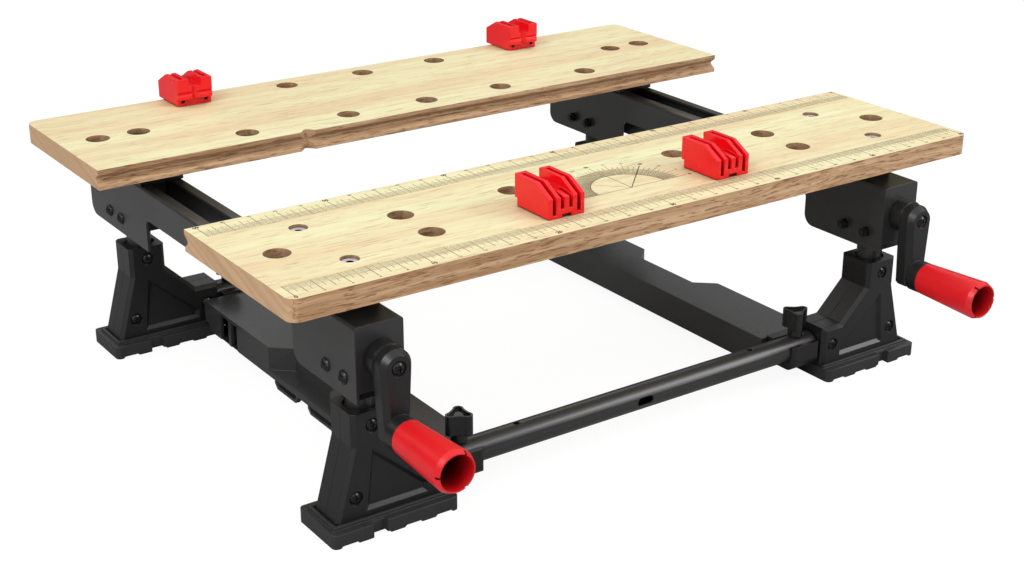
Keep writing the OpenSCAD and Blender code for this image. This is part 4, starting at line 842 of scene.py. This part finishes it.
def studio_floor():
    """A dull pale floor that glows only for the camera."""
    finish, tree, shader = new_finish("studio_floor")
    # The glow is mixed in ahead of the output that the shader is already linked to.
    output = shader.outputs[0].links[0].to_node
    rays = add(tree, "LightPath").outputs
    give_colour(tree, shader, blend_colours(tree, rays["Is Glossy Ray"], FLOOR_GREY, FLOOR_IN_REFLECTIONS))
    shader.inputs["Roughness"].default_value = 0.9
    shader.inputs["Specular IOR Level"].default_value = 0.0
    glow = add(tree, "Emission", {"Color": WHITE, "Strength": GLOW_STRENGTH})
    glow_share = sums(tree, "MULTIPLY", rays["Is Camera Ray"], GLOW_SHARE)
    mixed = add(tree, "MixShader", {0: glow_share, 1: shader.outputs[0], 2: glow.outputs[0]})
    tree.links.new(mixed.outputs[0], output.inputs[0])
    return finish


sheet = bmesh.new()
sheet.faces.new([sheet.verts.new((x * FLOOR_HALF, y * FLOOR_HALF, cad_low.z))
                 for x, y in ((-1, -1), (1, -1), (1, 1), (-1, 1))])
floor = new_piece("floor", sheet, studio_floor())
print("floor in metres:", [round(side, 1) for side in floor.dimensions])

# %% [markdown]
# ## The sky
#
# A studio has white walls and a wide soft light overhead. One even white sky would light black plastic from
# all sides and turn it grey. So this sky is a dome that is bright overhead and dim towards the horizon, and
# in reflections it is dimmer still low down, so that black edges catch a line of light. The camera sees
# plain white behind the bench.

# %% Sky
LIGHT_HORIZON, LIGHT_OVERHEAD, LIGHT_RISE = 0.24, 1.0, (0.0, 0.9)
SHINE_HORIZON, SHINE_OVERHEAD, SHINE_RISE = 0.03, 1.1, (0.28, 0.48)


def rising(tree, height, rise, low, high):
    """A brightness that rises smoothly from low to high between the two heights of the dome."""
    return add(tree, "MapRange", {"Value": height, "From Min": rise[0], "From Max": rise[1],
                                  "To Min": low, "To Max": high}, interpolation_type="SMOOTHSTEP").outputs[0]


sky = bpy.data.worlds.new("white_studio")
sky.use_nodes = True
dome = sky.node_tree
dome.nodes.clear()
rays = add(dome, "LightPath").outputs
height = axes(dome, add(dome, "TexCoord").outputs["Generated"])[2]
light_strength = rising(dome, height, LIGHT_RISE, LIGHT_HORIZON, LIGHT_OVERHEAD)
shine_strength = rising(dome, height, SHINE_RISE, SHINE_HORIZON, SHINE_OVERHEAD)
strength = add(dome, "Mix", {0: rays["Is Glossy Ray"], 2: light_strength, 3: shine_strength}).outputs[0]
soft = add(dome, "Background", {"Color": WHITE, "Strength": strength})
white = add(dome, "Background", {"Color": WHITE, "Strength": 1.0})
either = add(dome, "MixShader", {0: rays["Is Camera Ray"], 1: soft.outputs[0], 2: white.outputs[0]})
add(dome, "OutputWorld", {"Surface": either.outputs[0]})
bpy.context.scene.world = sky
print("nodes in the sky:", len(dome.nodes))

# %% [markdown]
# ## The lamps
#
# Two large lamps give the boards and the black parts their shape: one high on the left, as in the
# photograph, and a weaker one in front on the right. The third is low and dim, and works as a white card
# does in a studio: it shows in the bevels that face it. Small lamps would throw hard shadows, so all three
# are wide squares.

# %% Lamps
BENCH_MIDDLE = Vector((0, 0, 0.1))
LAMPS = (  # name, place in metres, size in metres and power in watts
    ("left_lamp", (-2.4, -0.9, 2.3), 1.6, 42),
    ("front_lamp", (1.7, -1.5, 1.3), 1.2, 25),
    ("left_card", (-2.3, -1.35, 0.4), 1.1, 7),
)

for name, place, size, power in LAMPS:
    light = bpy.data.lights.new(name, "AREA")
    light.shape, light.size, light.energy = "SQUARE", size, power
    holder = bpy.data.objects.new(name, light)
    holder.location = place
    holder.rotation_euler = (BENCH_MIDDLE - Vector(place)).to_track_quat("-Z", "Y").to_euler()
    bpy.context.scene.collection.objects.link(holder)
    print(name, "is", size, "m wide and has", power, "W")
